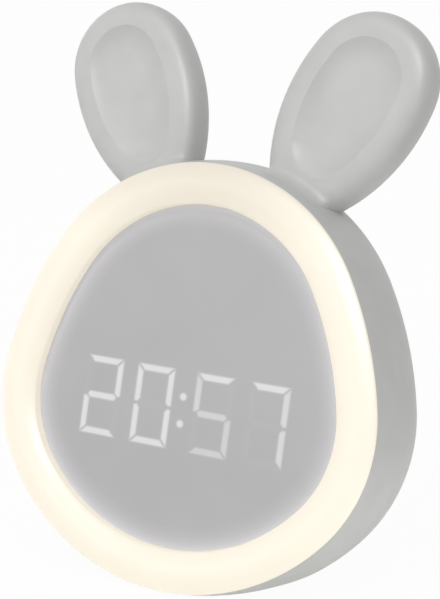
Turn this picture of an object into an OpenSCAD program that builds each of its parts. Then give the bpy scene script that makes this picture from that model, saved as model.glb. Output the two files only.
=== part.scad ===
// Alarm clock with a night light: an egg-shaped case with two long ears,
// a glowing ring round a dim display, and its working parts inside.
// Pieces are drawn with the face lying flat: X across it, Y up it, Z out
// of it, and Z = 0 on the display's front. Last of all, placed() stands
// the clock up on its base pad, leaning back.

/* [Case outline] */
// Radius of the arc over the top of the face
top_radius = 48; // [46:0.5:50]
// Height of that arc's centre above the middle of the face
top_rise = 12.1; // [11:0.1:13]
// Angle above level where the top arc meets a side arc
top_end = 30; // [28.5:0.5:32]
// Radius of each long side arc
side_radius = 96; // [90:0.5:102]
// Angle above level where a side arc meets a lower corner
side_end = 10.5; // [9:0.5:12]
// Radius of each lower corner
corner_radius = 40.5; // [39:0.5:42]
// Angle below level where a lower corner meets the bottom arc
corner_end = 40.5; // [39:0.5:43]

/* [Case] */
// How far the face leans back from upright, in degrees
lean = 16.4; // [13:0.2:19]
// Depth from the display to the back of the case
case_depth = 42; // [41:0.5:46]
// How far the side swells out past the light ring
swell = 2.2; // [1.6:0.2:3]
// Depth at which the swell is widest
swell_depth = 14; // [12:0.5:16]
// How far in from the ring's edge the back becomes flat
back_inset = 21.5; // [20.5:0.1:22]
// Depth of the joint between front housing and rear cover
split_depth = 27; // [25:0.5:29]
// Height of the case's front rim above the display
rim_height = 2; // [1.5:0.1:2.5]
// Wall thickness of the case
wall = 2.2; // [2:0.1:2.6]
// Gap left between pieces that fit together
fit_gap = 0.15; // [0.1:0.05:0.3]

/* [Ears] */
// Distance of each ear's round tip centre from the middle
ear_x = 34.2; // [32:0.2:37]
// Height of that centre above the middle of the face
ear_y = 84.8; // [82:0.1:87]
// Depth of an ear's middle plane
ear_depth = 11.8; // [10.5:0.1:13]
// Angle that each ear leans outwards
ear_lean = 26; // [22:1:30]
// Radius of an ear's tip
ear_tip_radius = 17.5; // [16:0.1:19]
// Radius of an ear's long sides
ear_side_radius = 48; // [46:0.5:52]
// Angle from the ear's axis where the tip meets the sides
ear_side_start = 79; // [76:1:82]
// Thickness of an ear
ear_thickness = 13; // [12:0.2:15]
// Length of an ear below its tip centre, down into the case
ear_root = 38; // [36:0.2:39]
// Width of the border round the hollow in an ear's front
dish_border = 7.3; // [7:0.1:8.5]
// Length of that hollow below the tip centre
dish_reach = 26.5; // [24:0.1:27.5]
// Depth of the hollow
dish_depth = 2.4; // [1.6:0.1:3]
// Width of the hollow's curved wall
dish_slope = 6; // [4:0.2:7]

/* [Light ring] */
// Width of the ring across its face
ring_width = 10.4; // [10.2:0.1:11]
// Height of the ring's crown above the case rim
ring_crown = 2.6; // [2.2:0.1:3.2]
// Thickness of the ring where it lies on the case rim
ring_edge = 0.7; // [0.6:0.1:1]
// Wall thickness of the ring
ring_wall = 1.5; // [1.2:0.1:1.8]
// Depth of the frame's plate, on which the ring stands
frame_depth = 5.9; // [5.5:0.1:6.5]
// Thickness of that plate
frame_plate = 1.6; // [1.4:0.1:1.8]
// Width of the frame's wall under the display's edge
frame_wall = 1.9; // [1.6:0.1:2.4]

/* [Display] */
// Thickness of the display's tinted panel
panel_thickness = 1.6; // [1.2:0.1:1.8]
// Height of a digit
digit_height = 20.3; // [18:0.1:21]
// Width of a digit
digit_width = 10.8; // [10:0.1:12]
// Width of one bar of a digit
bar_width = 1.55; // [1.2:0.05:1.8]
// Gap between neighbouring bars
bar_gap = 0.45; // [0.3:0.05:0.6]
// Distance between the digits of one pair
digit_pitch = 15.2; // [14:0.1:16]
// Distance between the two digits beside the colon
colon_pitch = 17.3; // [16.5:0.1:18]
// Diameter of each colon dot
dot_diameter = 1.9; // [1.4:0.1:2.4]
// Distance between the colon dots
dot_spacing = 6.9; // [5.5:0.1:8]
// How far the digits' middle lies below the middle of the face
digits_drop = 2.7; // [1:0.1:4]
// Thickness of the lit bars, which stand on the display block
bar_thickness = 0.4; // [0.3:0.05:0.5]
// Depth of the display block's front below the panel's back
block_gap = 0.6; // [0.5:0.1:1]
// Margin of the display block round its digits
block_margin = 3; // [2.5:0.1:3.4]
// Thickness of the display block
block_thickness = 8; // [7:0.1:8.5]

/* [Buttons and sockets] */
// Diameter of a push button
button_diameter = 8.6; // [7:0.1:9.4]
// Gap round a push button
button_gap = 0.3; // [0.2:0.05:0.4]
// How far a button stands out of the back
button_height = 1.2; // [0.8:0.1:1.6]
// How far a button travels
button_travel = 0.5; // [0.3:0.05:0.6]
// Distance between buttons
button_pitch = 12; // [11.6:0.1:12.4]
// Height of the row of buttons above the middle of the face
button_row = 20; // [19:0.2:21]
// Distance of socket and slide switch from the middle
socket_x = 9.3; // [9:0.1:9.5]
// Distance of socket and slide switch below the middle of the face
socket_drop = 22.9; // [22.6:0.1:23.4]
// Travel of the slide switch
slide_travel = 2.5; // [2:0.1:3]
// Length of the slide switch's grip
grip_length = 3.6; // [3:0.1:4]
// Width of the grip
grip_width = 2.4; // [2:0.1:2.8]
// How far the grip stands out of the back
grip_height = 0.8; // [0.5:0.1:1.2]

/* [Speaker] */
// Diameter of the speaker
speaker_diameter = 28; // [26:0.5:28.5]
// Depth of the speaker's basket
speaker_depth = 4.8; // [4:0.1:5]
// Distance of the speaker's centre below the middle of the face
speaker_drop = 4; // [3.5:0.1:4.5]
// Diameter of a sound hole
sound_hole = 1.6; // [1.2:0.1:2]
// Distance between rings of sound holes
sound_pitch = 3.6; // [3.2:0.1:4]

/* [Boards] */
// Thickness of the main and rear circuit boards
board_thickness = 1.6; // [1:0.1:1.8]
// Width of the main board
main_board_width = 72; // [70:0.5:74]
// How far the main board reaches above and below the display block
main_board_border = 6.8; // [6.4:0.1:7]
// Thickness of the ring's LED board
ring_board_thickness = 1; // [0.8:0.1:1.2]
// Distance from the back wall to the rear board
rear_board_gap = 7.4; // [7.2:0.1:7.8]
// Inset of the rear board from the case outline
rear_board_inset = 22; // [21.5:0.1:23]
// Diameter of the cover screws' shanks
screw_diameter = 2.6; // [2.2:0.1:2.8]
// Diameter of the cover screws' heads
screw_head = 4.8; // [4.4:0.1:5]
// Distance of the upper cover screws from the middle
upper_screw_x = 21; // [20.5:0.1:21.5]
// Height of the upper cover screws
upper_screw_y = 35; // [34.5:0.1:35.5]
// Distance of the lower cover screws from the middle
lower_screw_x = 23; // [22.5:0.1:23.5]
// Gap between the main board and the lower screw posts
lower_post_gap = 1; // [0.6:0.1:1.4]
// Depth at which the frame's posts meet the cover's
post_depth = 14.4; // [14:0.1:15]

/* [Battery] */
// Width of the battery
battery_width = 50; // [44:0.5:51]
// Height of the battery
battery_height = 34; // [30:0.5:36]
// Thickness of the battery
battery_thickness = 8; // [6:0.1:9]

/* [Base] */
// Width of the base pad
pad_width = 34; // [30:0.5:36]
// Length of the base pad, front to back
pad_length = 26; // [24:0.5:27]
// Distance from the base's front edge to the pad
pad_setback = 12.4; // [11.8:0.1:13]
// Thickness of the base pad
pad_thickness = 1.6; // [1.4:0.1:1.8]
// How far the pad stands out below the case
pad_proud = 0.6; // [0.5:0.1:0.8]
// Height of the light ring's lowest edge above the flat base
base_clearance = 0.3; // [0.2:0.1:1]
// How softly the case's side turns into the flat base
base_softness = 4.5; // [3:0.5:6]

/* [Hidden] */
$fn = 72;

case_grey = "#c6c7c6";
ivory = "#fff6e4";
panel_grey = "#b9b9ba";
board_green = "#2f6b45";
steel = "#b4b6b8";
black = "#26272a";
rubber_grey = "#8e908f";
far = 200; // larger than the clock, for cutting blocks
join = 1; // overlap of pieces that are fused or cut right through
over = 0.01; // smallest overlap, where two faces would just meet

// ---- the outline: arcs that meet smoothly, symmetric about X = 0 ----
function unit(angle) = [cos(angle), sin(angle)];
function arc(centre, radius, from, to, steps) =
    [for (i = [0:steps - 1]) centre + radius * unit(from + (to - from) * i / steps)];
// closes a right half, which runs from the lowest point up, with its mirror image
function closed(half, top) =
    concat(half, [top], [for (i = [len(half) - 1:-1:1]) [-half[i].x, half[i].y]]);

top_centre = [0, top_rise];
side_centre = top_centre + (top_radius - side_radius) * unit(top_end);
corner_centre = side_centre + (side_radius - corner_radius) * unit(side_end);
bottom_radius = corner_radius + corner_centre.x / cos(corner_end);
bottom_centre = corner_centre + (corner_radius - bottom_radius) * unit(-corner_end);
outline_bottom = bottom_centre.y - bottom_radius;

outline_steps = [12, 9, 10, 7];
function outline(grow) = closed(
    concat(
        arc(bottom_centre, bottom_radius + grow, -90, -corner_end, outline_steps[0]),
        arc(corner_centre, corner_radius + grow, -corner_end, side_end, outline_steps[1]),
        arc(side_centre, side_radius + grow, side_end, top_end, outline_steps[2]),
        arc(top_centre, top_radius + grow, top_end, 90, outline_steps[3])
    ),
    [0, top_centre.y + top_radius + grow]
);

// ---- an ear's outline, about its tip centre and with its axis along Y ----
ear_side_centre = (ear_tip_radius - ear_side_radius) * unit(90 - ear_side_start);
function foot_radius(side, foot) =
    (side * side - pow(ear_side_centre.x, 2) - pow(foot - ear_side_centre.y, 2))
    / (2 * (side + foot - ear_side_centre.y));
function ear_outline(grow, foot) =
    let (
        side = ear_side_radius + grow,
        round_end = foot_radius(side, foot),
        foot_centre = [0, foot + round_end],
        foot_end = atan2(foot_centre.y - ear_side_centre.y, -ear_side_centre.x)
    )
    closed(
        concat(
            arc(foot_centre, round_end, -90, foot_end, 5),
            arc(ear_side_centre, side, foot_end, 90 - ear_side_start, 6),
            arc([0, 0], ear_tip_radius + grow, 90 - ear_side_start, 90, 7)
        ),
        [0, ear_tip_radius + grow]
    );

// ---- skins a solid through outlines at given heights, from the front to the back ----
function lifted(points, z) = [for (p = points) [p.x, p.y, z]];
module loft(rings, capped = true) {
    count = len(rings[0]);
    spans = capped ? len(rings) - 1 : len(rings);
    // a cap starts at its topmost point, away from the run of points along a flat base
    cap = [for (i = [0:count - 1]) (i + floor(count / 2)) % count];
    polyhedron(
        points = [for (ring = rings) each ring],
        faces = concat(
            capped ? [[for (i = [count - 1:-1:0]) cap[i]]] : [],
            capped ? [[for (i = cap) spans * count + i]] : [],
            [
                for (r = [0:spans - 1], i = [0:count - 1])
                    let (
                        a = r * count,
                        b = ((r + 1) % len(rings)) * count,
                        j = (i + 1) % count
                    )
                    each [[a + i, a + j, b + j], [a + i, b + j, b + i]]
            ]
        )
    );
}
// a flat plate of the face's outline, from one depth to a deeper one
module plate(grow, from, to) {
    translate([0, 0, -to])
        linear_extrude(to - from)
            polygon(outline(grow));
}

// ---- the case's side: a shallow arc to the widest place, then a quarter ellipse ----
swell_radius = (swell * swell + pow(rim_height + swell_depth, 2)) / (2 * swell);
back_reach = swell + back_inset;
back_rise = case_depth - swell_depth;
function grow_at(depth, inset) =
    depth < swell_depth
    ? swell - swell_radius + sqrt(pow(swell_radius - inset, 2) - pow(depth - swell_depth, 2))
    : swell - back_reach
        + (back_reach - inset) * sqrt(max(0, 1 - pow((depth - swell_depth) / (back_rise - inset), 2)));
// the base is level, so it climbs up the leaning face's frame with depth
base_level = outline_bottom * cos(lean) + rim_height * sin(lean) - base_clearance;
function base_line(depth) = (base_level + depth * sin(lean)) / cos(lean);
// the side turns into it softly, but sharply at the front rim, where the light ring lies
base_ramp = 10;
sharpest = 0.05;
function softness(depth) = base_softness * min(1, max(sharpest, (depth + rim_height) / base_ramp));
function settled(y, line, soft) =
    y > line + soft ? y : y < line - soft ? line : line + pow(y - line + soft, 2) / (4 * soft);
function ring_at(depth, inset) =
    let (line = base_line(depth), soft = softness(depth))
    [
        for (p = outline(grow_at(depth, inset)))
            [p.x, inset > 0 ? p.y : settled(p.y, line, soft), -depth]
    ];
// the floor is thicker than the side walls, so that they stay whole where they turn into it
floor_thickness = wall + base_softness / 4;

front_steps = 8;
back_steps = 7;
module front_form(inset, reach) {
    first = -rim_height - reach;
    span = split_depth + reach - first;
    loft([for (i = [0:front_steps]) ring_at(first + span * i / front_steps, inset)]);
}
module rear_form(inset, reach) {
    start = asin((split_depth - reach - swell_depth) / (back_rise - inset));
    loft([
        for (i = [0:back_steps])
            let (turn = start + (90 - start) * i / back_steps)
            ring_at(swell_depth + (back_rise - inset) * sin(turn), inset)
    ]);
}

// ---- what stands on the flat base ----
base_front = outline_bottom * sin(lean) - rim_height * cos(lean);
pad_middle = base_front + pad_setback + pad_length / 2;
// turns a child that is drawn standing up into the face's frame
module upright() {
    rotate([lean - 90, 0, 0])
        children();
}
module above_base(inset) {
    upright()
        translate([-far, -far, base_level + inset])
            cube(2 * far);
}
module below_base(inset) {
    upright()
        translate([-far, -far, base_level + inset - 2 * far])
            cube(2 * far);
}
pad_corner = 5;
module pad_form(gap, height) {
    corner = pad_corner + gap;
    width = pad_width + 2 * gap;
    length = pad_length + 2 * gap;
    upright()
        translate([0, pad_middle, base_level + height])
            mirror([0, 0, 1])
                linear_extrude(height + far) {
                    square([width - 2 * corner, length], center = true);
                    square([width, length - 2 * corner], center = true);
                    for (x = [-1, 1], y = [-1, 1])
                        translate([x * (width / 2 - corner), y * (length / 2 - corner)])
                            circle(corner);
                }
}
// stands the whole clock on its pad, with the origin in the middle of the pad's underside
module placed() {
    translate([0, -pad_middle, pad_proud - base_level])
        rotate([90 - lean, 0, 0])
            children();
}

// ---- ears ----
ear_half = ear_thickness / 2;
round_steps = 8;
function ear_ring(grow, foot, z) = lifted(ear_outline(grow, foot), z);
module on_ear(side) {
    mirror([side < 0 ? 1 : 0, 0, 0])
        translate([ear_x, ear_y, -ear_depth])
            rotate([0, 0, -ear_lean])
                children();
}
dish_steps = 3;
module ear_form() {
    slope_radius = (dish_slope * dish_slope + dish_depth * dish_depth) / (2 * dish_depth);
    loft(concat(
        [
            for (i = [0:dish_steps])
                let (out = dish_slope * (1 - i / dish_steps))
                ear_ring(
                    -dish_border - out,
                    -dish_reach + out,
                    ear_half - dish_depth + slope_radius
                        - sqrt(pow(slope_radius, 2) - pow(dish_slope - out, 2))
                )
        ],
        [
            for (i = [0:round_steps])
                let (turn = 90 - 180 * i / round_steps)
                ear_ring(
                    ear_half * (cos(turn) - 1),
                    -ear_root - ear_half * (cos(turn) - 1),
                    ear_half * sin(turn)
                )
        ]
    ));
}
ear_front_wall = 2;
ear_pocket_top = ear_half - dish_depth - ear_front_wall;
back_plug_thickness = 1.8;
back_plug_step = 1.6;
peg_places = [[0, 4], [0, -18]];
peg_radius = 1.4;
peg_boss_radius = 2.8;
peg_length = 4;
// the room inside an ear, open to the back and stepped to take the back plug
module ear_pocket() {
    difference() {
        union() {
            translate([0, 0, -ear_half - join])
                linear_extrude(ear_pocket_top + ear_half + join)
                    polygon(ear_outline(-dish_border - back_plug_step, -dish_reach + back_plug_step));
            translate([0, 0, -ear_half - join])
                linear_extrude(back_plug_thickness + join)
                    polygon(ear_outline(-dish_border, -dish_reach));
        }
        for (place = peg_places)
            translate([place.x, place.y, -ear_half + back_plug_thickness])
                cylinder(r = peg_boss_radius, h = far);
    }
    for (place = peg_places)
        translate([place.x, place.y, -ear_half])
            cylinder(r = peg_radius + fit_gap, h = back_plug_thickness + peg_length + fit_gap);
}
module ear_back(side) {
    color(case_grey)
        on_ear(side) {
            translate([0, 0, -ear_half])
                linear_extrude(back_plug_thickness)
                    polygon(ear_outline(-dish_border - fit_gap, -dish_reach + fit_gap));
            for (place = peg_places)
                translate([place.x, place.y, -ear_half])
                    cylinder(r = peg_radius, h = back_plug_thickness + peg_length);
        }
}
module ear_back_left() {
    ear_back(-1);
}
module ear_back_right() {
    ear_back(1);
}

// ---- case ----
module front_housing() {
    color(case_grey)
        difference() {
            union() {
                front_form(0, 0);
                for (side = [-1, 1])
                    on_ear(side)
                        ear_form();
            }
            intersection() {
                front_form(wall, join);
                above_base(floor_thickness);
            }
            for (side = [-1, 1])
                on_ear(side)
                    ear_pocket();
            pad_form(fit_gap, pad_thickness - pad_proud);
        }
}

back_inside = case_depth - wall;
tongue_depth = 2.5;
tongue_wall = 1.2;
block_height = digit_height + 2 * block_margin;
post_wall = 2;
post_radius = screw_diameter / 2 + post_wall;
lower_screw_y = -digits_drop - block_height / 2 - main_board_border - lower_post_gap - post_radius;
cover_screw_places = [
    [-upper_screw_x, upper_screw_y], [upper_screw_x, upper_screw_y],
    [-lower_screw_x, lower_screw_y], [lower_screw_x, lower_screw_y],
];
screw_seat_depth = 20;
boss_wall = 1.8;
boss_radius = screw_head / 2 + boss_wall;
pilot_floor = 1;
collar_wall = 1.2;
collar_height = 3.6;
standoff_places = [[-27, 9], [27, 9], [-25, -11], [25, -11]];
standoff_radius = 2.6;
button_places = [for (i = [-1.5:1:1.5]) [i * button_pitch, button_row]];
speaker_place = [0, -speaker_drop];
collar_radius = speaker_diameter / 2 + fit_gap;
usb_place = [-socket_x, -socket_drop];
slide_place = [socket_x, -socket_drop];
reset_hole_radius = 0.8;
usb_width = 9;
usb_height = 3.3;
usb_gap = 0.3;

// a slot with round ends
module slot(width, height) {
    square([width - height, height], center = true);
    for (x = [-1, 1])
        translate([x * (width - height) / 2, 0])
            circle(height / 2);
}
// a hole or a post along Z at a place on the face, between two depths
module rod(place, radius, from, to) {
    translate([place.x, place.y, -to])
        cylinder(r = radius, h = to - from);
}
module tongue() {
    grow = grow_at(split_depth, wall) - fit_gap;
    intersection() {
        difference() {
            plate(grow, split_depth - tongue_depth, split_depth + tongue_depth);
            plate(grow - tongue_wall, split_depth - tongue_depth - join, split_depth + tongue_depth + join);
        }
        above_base(floor_thickness + fit_gap);
    }
}
module speaker_collar() {
    difference() {
        rod(speaker_place, collar_radius + collar_wall, back_inside - collar_height, back_inside + join);
        rod(speaker_place, collar_radius, back_inside - collar_height - join, back_inside);
    }
}
module sound_holes() {
    translate([speaker_place.x, speaker_place.y, -case_depth - join]) {
        cylinder(r = sound_hole / 2, h = wall + 2 * join);
        for (ring = [1:2], i = [0:6 * ring - 1])
            rotate([0, 0, i * 60 / ring])
                translate([ring * sound_pitch, 0, 0])
                    cylinder(r = sound_hole / 2, h = wall + 2 * join);
    }
}
module rear_cover() {
    slide_slot = grip_length + slide_travel + 2 * button_gap;
    color(case_grey)
        difference() {
            union() {
                difference() {
                    rear_form(0, 0);
                    intersection() {
                        rear_form(wall, join);
                        above_base(floor_thickness);
                    }
                }
                tongue();
                speaker_collar();
                for (place = standoff_places)
                    rod(place, standoff_radius, back_inside - rear_board_gap, back_inside + wall / 2);
                // the screw bosses end within the wall where the back curves
                intersection() {
                    rear_form(wall / 2, split_depth);
                    for (place = cover_screw_places)
                        rod(place, boss_radius, post_depth + fit_gap, back_inside + wall / 2);
                }
            }
            for (place = cover_screw_places) {
                rod(place, screw_diameter / 2 + fit_gap, post_depth - join, case_depth);
                rod(place, screw_head / 2 + 2 * fit_gap, screw_seat_depth, case_depth + join);
            }
            for (place = standoff_places)
                rod(place, board_pilot, back_inside - rear_board_gap - join, back_inside - pilot_floor);
            for (place = button_places)
                rod(place, button_diameter / 2 + button_gap, back_inside - join, case_depth + join);
            translate([usb_place.x, usb_place.y, -case_depth - join])
                linear_extrude(wall + 2 * join)
                    slot(usb_width + 2 * usb_gap, usb_height + 2 * usb_gap);
            translate([slide_place.x, slide_place.y, -case_depth - join])
                linear_extrude(wall + 2 * join)
                    square([slide_slot, grip_width + 2 * button_gap], center = true);
            rod([0, -socket_drop], reset_hole_radius, back_inside - join, case_depth + join);
            sound_holes();
            pad_form(fit_gap, pad_thickness - pad_proud);
        }
}

// ---- light ring: a crowned strip on two skirts, open behind ----
ring_base = rim_height;
crown_steps = 8;
skirt_setback = 0.5;
skirt_inset = wall + skirt_setback;
inner_edge_drop = 0.5;
ring_inner_edge = ring_base + ring_edge - inner_edge_drop;
module light_ring() {
    profile = concat(
        [[0, ring_base], [0, ring_base + ring_edge]],
        [
            for (i = [1:crown_steps - 1])
                let (part = i / crown_steps)
                [
                    -ring_width * part,
                    ring_base + ring_edge + (ring_crown - ring_edge) * sin(180 * part)
                ]
        ],
        [
            [-ring_width, ring_inner_edge],
            [-ring_width, -frame_depth],
            [-ring_width + ring_wall, -frame_depth],
            [-ring_width + ring_wall, ring_base - ring_edge],
            [-ring_width / 2, ring_base + ring_crown - ring_wall],
            [-skirt_inset - ring_wall, ring_base - ring_edge],
            [-skirt_inset - ring_wall, -frame_depth],
            [-skirt_inset, -frame_depth],
            [-skirt_inset, ring_base],
        ]
    );
    color(ivory)
        difference() {
            loft([for (p = profile) lifted(outline(p.x), p.y)], capped = false);
            intersection() {
                below_base(floor_thickness + fit_gap);
                translate([-far, -far, ring_base - 2 * far])
                    cube(2 * far);
            }
        }
}

// ---- display ----
module display_panel() {
    color(panel_grey)
        plate(-ring_width - fit_gap, 0, panel_thickness);
}
block_depth = panel_thickness + block_gap + bar_thickness;
board_depth = block_depth + block_thickness;
digit_xs = [
    -colon_pitch / 2 - digit_pitch, -colon_pitch / 2,
    colon_pitch / 2, colon_pitch / 2 + digit_pitch,
];
block_width = 2 * digit_xs[3] + digit_width + 2 * block_margin;
module display_block() {
    color("#dcdcd8")
        translate([-block_width / 2, -digits_drop - block_height / 2, -board_depth])
            cube([block_width, block_height, block_thickness]);
}
// the bars of a digit in the order a to g: top, two right, bottom, two left, middle
bar_long = digit_width - bar_width;
bar_tall = (digit_height - bar_width) / 2;
bar_places = [
    [0, bar_tall, 0], [bar_long / 2, bar_tall / 2, 90], [bar_long / 2, -bar_tall / 2, 90],
    [0, -bar_tall, 0], [-bar_long / 2, -bar_tall / 2, 90], [-bar_long / 2, bar_tall / 2, 90], [0, 0, 0],
];
digit_bars = [
    [1, 1, 1, 1, 1, 1, 0], [0, 1, 1, 0, 0, 0, 0], [1, 1, 0, 1, 1, 0, 1], [1, 1, 1, 1, 0, 0, 1],
    [0, 1, 1, 0, 0, 1, 1], [1, 0, 1, 1, 0, 1, 1], [1, 0, 1, 1, 1, 1, 1], [1, 1, 1, 0, 0, 0, 0],
    [1, 1, 1, 1, 1, 1, 1], [1, 1, 1, 1, 0, 1, 1],
];
shown_time = [2, 0, 5, 7];
module bar(length) {
    half = length / 2 - bar_gap;
    tip = bar_width / 2;
    linear_extrude(bar_thickness)
        polygon([
            [-half, 0], [-half + tip, tip], [half - tip, tip],
            [half, 0], [half - tip, -tip], [-half + tip, -tip],
        ]);
}
module bars(lit) {
    translate([0, -digits_drop, -block_depth])
        for (place = [0:3], i = [0:6])
            if (digit_bars[shown_time[place]][i] == lit)
                translate([digit_xs[place] + bar_places[i].x, bar_places[i].y, 0])
                    rotate([0, 0, bar_places[i].z])
                        bar(bar_places[i].z == 0 ? bar_long : bar_tall);
}
module lit_bars() {
    color("#f2f2f4")
        bars(1);
}
module unlit_bars() {
    color("#c2c2c3")
        bars(0);
}
module colon_dots() {
    color("#f2f2f4")
        for (y = [-1, 1])
            translate([0, y * dot_spacing / 2 - digits_drop, -block_depth])
                cylinder(r = dot_diameter / 2, h = bar_thickness);
}

// ---- frame that carries ring, panel and boards ----
plate_back = frame_depth + frame_plate;
main_board_height = block_height + 2 * main_board_border;
main_screw_inset = 3.2;
main_screw_places = [
    for (x = [-1, 1], y = [-1, 1])
        [
            x * (main_board_width / 2 - main_screw_inset),
            y * (block_height + main_board_border) / 2 - digits_drop
        ]
];
board_screw_radius = 1;
board_pilot = board_screw_radius + fit_gap / 2;
pilot_depth = 6;
lead_hole_radius = 1.6;
strip_outer = skirt_inset + ring_wall + 2 * fit_gap;
strip_inner = ring_width - ring_wall - 2 * fit_gap;
strip_front = frame_depth - ring_board_thickness;
strip_middle = (strip_outer + strip_inner) / 2;
lead_place = [corner_centre.x + sqrt(pow(corner_radius - strip_middle, 2) - pow(corner_centre.y, 2)), 0];
module light_frame() {
    color("#ecece8")
        difference() {
            union() {
                intersection() {
                    plate(grow_at(frame_depth, wall) - 2 * fit_gap, frame_depth, plate_back);
                    above_base(floor_thickness + fit_gap);
                }
                plate(-ring_width - fit_gap, panel_thickness, plate_back);
                for (place = cover_screw_places)
                    rod(place, post_radius, frame_depth, post_depth);
                for (place = main_screw_places)
                    rod(place, standoff_radius, frame_depth, board_depth);
            }
            plate(-ring_width - frame_wall, panel_thickness - join, frame_depth);
            translate([0, -digits_drop, -plate_back - join])
                linear_extrude(frame_plate + 2 * join)
                    square([block_width + 2 * fit_gap, block_height + 2 * fit_gap], center = true);
            for (place = cover_screw_places)
                rod(place, screw_diameter / 2 + fit_gap / 3, post_depth - pilot_depth, post_depth + join);
            for (place = main_screw_places)
                rod(place, board_pilot, plate_back - pilot_floor, board_depth + join);
            rod(lead_place, lead_hole_radius, frame_depth - join, plate_back + join);
        }
}

// ---- ring lighting ----
module ring_board() {
    color("#f0efe9")
        intersection() {
            difference() {
                plate(-strip_outer, strip_front, frame_depth);
                plate(-strip_inner, strip_front - join, frame_depth + join);
            }
            above_base(floor_thickness + fit_gap);
        }
}
led_length = 3.5;
led_width = 2.8;
led_height = 1;
led_every = 3;
module ring_leds() {
    line = outline(-strip_middle - 2 * fit_gap); // clear of the case's floor
    color("#fff2c8")
        for (i = [0:led_every:len(line) - 1])
            translate([line[i].x, line[i].y, -strip_front])
                rotate([0, 0, atan2(line[i].y - bottom_centre.y, line[i].x) - 90])
                    translate([-led_length / 2, -led_width / 2, 0])
                        cube([led_length, led_width, led_height]);
}

// ---- main board and what is soldered to it ----
main_back = board_depth + board_thickness;
// a block that stands on the back of the main board
module on_main(place, size) {
    translate([place.x - size.x / 2, place.y - size.y / 2, -main_back - size.z])
        cube(size);
}
module main_board() {
    color(board_green)
        difference() {
            translate([-main_board_width / 2, -digits_drop - main_board_height / 2, -main_back])
                cube([main_board_width, main_board_height, board_thickness]);
            for (place = main_screw_places)
                rod(place, board_screw_radius + fit_gap, board_depth - join, main_back + join);
        }
}
crystal_size = [4, 10.5, 3.4];
crystal_place = [12 - main_board_width / 2, 2];
chip_size = [9, 9, 1.5];
chip_place = crystal_place + [10, 0];
module main_chip() {
    color(black)
        on_main(chip_place, chip_size);
}
module clock_crystal() {
    color(steel)
        on_main(crystal_place, crystal_size);
}
cell_radius = 10;
cell_thickness = 3.2;
cell_place = [8, -3];
holder_floor = 0.8;
holder_wall = 1.2;
holder_mouth = 8;
holder_back = main_back + holder_floor + cell_thickness;
module cell_holder() {
    color(black)
        difference() {
            rod(cell_place, cell_radius + fit_gap + holder_wall, main_back, holder_back);
            rod(cell_place, cell_radius + fit_gap, main_back + holder_floor, holder_back + join);
            translate([cell_place.x - holder_mouth / 2, cell_place.y, -main_back - far - holder_floor])
                cube([holder_mouth, far, far]);
        }
}
module coin_cell() {
    color(steel)
        rod(cell_place, cell_radius, main_back + holder_floor, holder_back);
}
socket_size = [6, 5, 4.5];
lead_socket_place = [main_board_width / 2 - socket_size.x / 2, 0];
battery_socket_place = [-main_board_width / 2 + socket_size.x / 2, 0];
ribbon_width = 9;
ribbon_socket = [ribbon_width + 2, 3, 2];
ribbon_place = [-8, -(battery_height + ribbon_socket.y) / 2];
module board_sockets() {
    color("#f4f1e6") {
        on_main(lead_socket_place, socket_size);
        on_main(battery_socket_place, socket_size);
        on_main(ribbon_place, ribbon_socket);
    }
}

// ---- rear board with its switches ----
rear_board_back = back_inside - rear_board_gap;
rear_board_front = rear_board_back - board_thickness;
board_lug_radius = 4;
magnet_gap = 1;
module rear_board() {
    color(board_green)
        difference() {
            union() {
                plate(-rear_board_inset, rear_board_front, rear_board_back);
                for (place = standoff_places)
                    rod(place, board_lug_radius, rear_board_front, rear_board_back);
            }
            rod(speaker_place, magnet_radius + magnet_gap, rear_board_front - join, rear_board_back + join);
            for (place = standoff_places)
                rod(place, board_screw_radius + fit_gap, rear_board_front - join, rear_board_back + join);
        }
}
switch_size = 6;
switch_height = 3.5;
plunger_radius = 1.7;
plunger_well = 1;
switch_face = rear_board_back + switch_height;
plunger_rise = 1.3;
module switch_bodies() {
    color(black)
        for (place = button_places)
            difference() {
                translate([place.x - switch_size / 2, place.y - switch_size / 2, -switch_face])
                    cube([switch_size, switch_size, switch_height]);
                rod(place, plunger_radius + fit_gap, switch_face - plunger_well, switch_face + join);
            }
}
module plunger(i) {
    foot = switch_face - plunger_well + button_travel + fit_gap;
    color("#8d8f92")
        rod(button_places[i], plunger_radius, foot, switch_face + plunger_rise);
}
flange_depth = back_inside - button_gap;
flange_thickness = 0.8;
flange_lap = 1.1;
cap_round = 0.5;
module push_button(i) {
    cap_radius = button_diameter / 2;
    flange_radius = cap_radius + flange_lap;
    crown = case_depth + button_height;
    rim_centre = [cap_radius - cap_round, -crown + cap_round];
    color("#b9bbba")
        translate([button_places[i].x, button_places[i].y, 0])
            rotate_extrude()
                polygon([
                    [0, -switch_face - plunger_rise],
                    [plunger_radius, -switch_face - plunger_rise],
                    [plunger_radius, -flange_depth + flange_thickness],
                    [flange_radius, -flange_depth + flange_thickness],
                    [flange_radius, -flange_depth],
                    [cap_radius, -flange_depth],
                    each [for (turn = [0:15:90]) rim_centre + cap_round * [cos(turn), -sin(turn)]],
                    [0, -crown],
                ]);
}
module clock_button() {
    push_button(0);
}
module alarm_button() {
    push_button(1);
}
module plus_button() {
    push_button(2);
}
module minus_button() {
    push_button(3);
}
module clock_plunger() {
    plunger(0);
}
module alarm_plunger() {
    plunger(1);
}
module plus_plunger() {
    plunger(2);
}
module minus_plunger() {
    plunger(3);
}
slide_size = [9, 4, 3.8];
slide_face = rear_board_back + slide_size.z;
slide_lap = 1.2;
slide_plate = [grip_length + 2 * (slide_travel + slide_lap), grip_width + 2 * slide_lap];
module slide_switch() {
    color(steel)
        translate([slide_place.x - slide_size.x / 2, slide_place.y - slide_size.y / 2, -slide_face])
            cube(slide_size);
}
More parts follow.
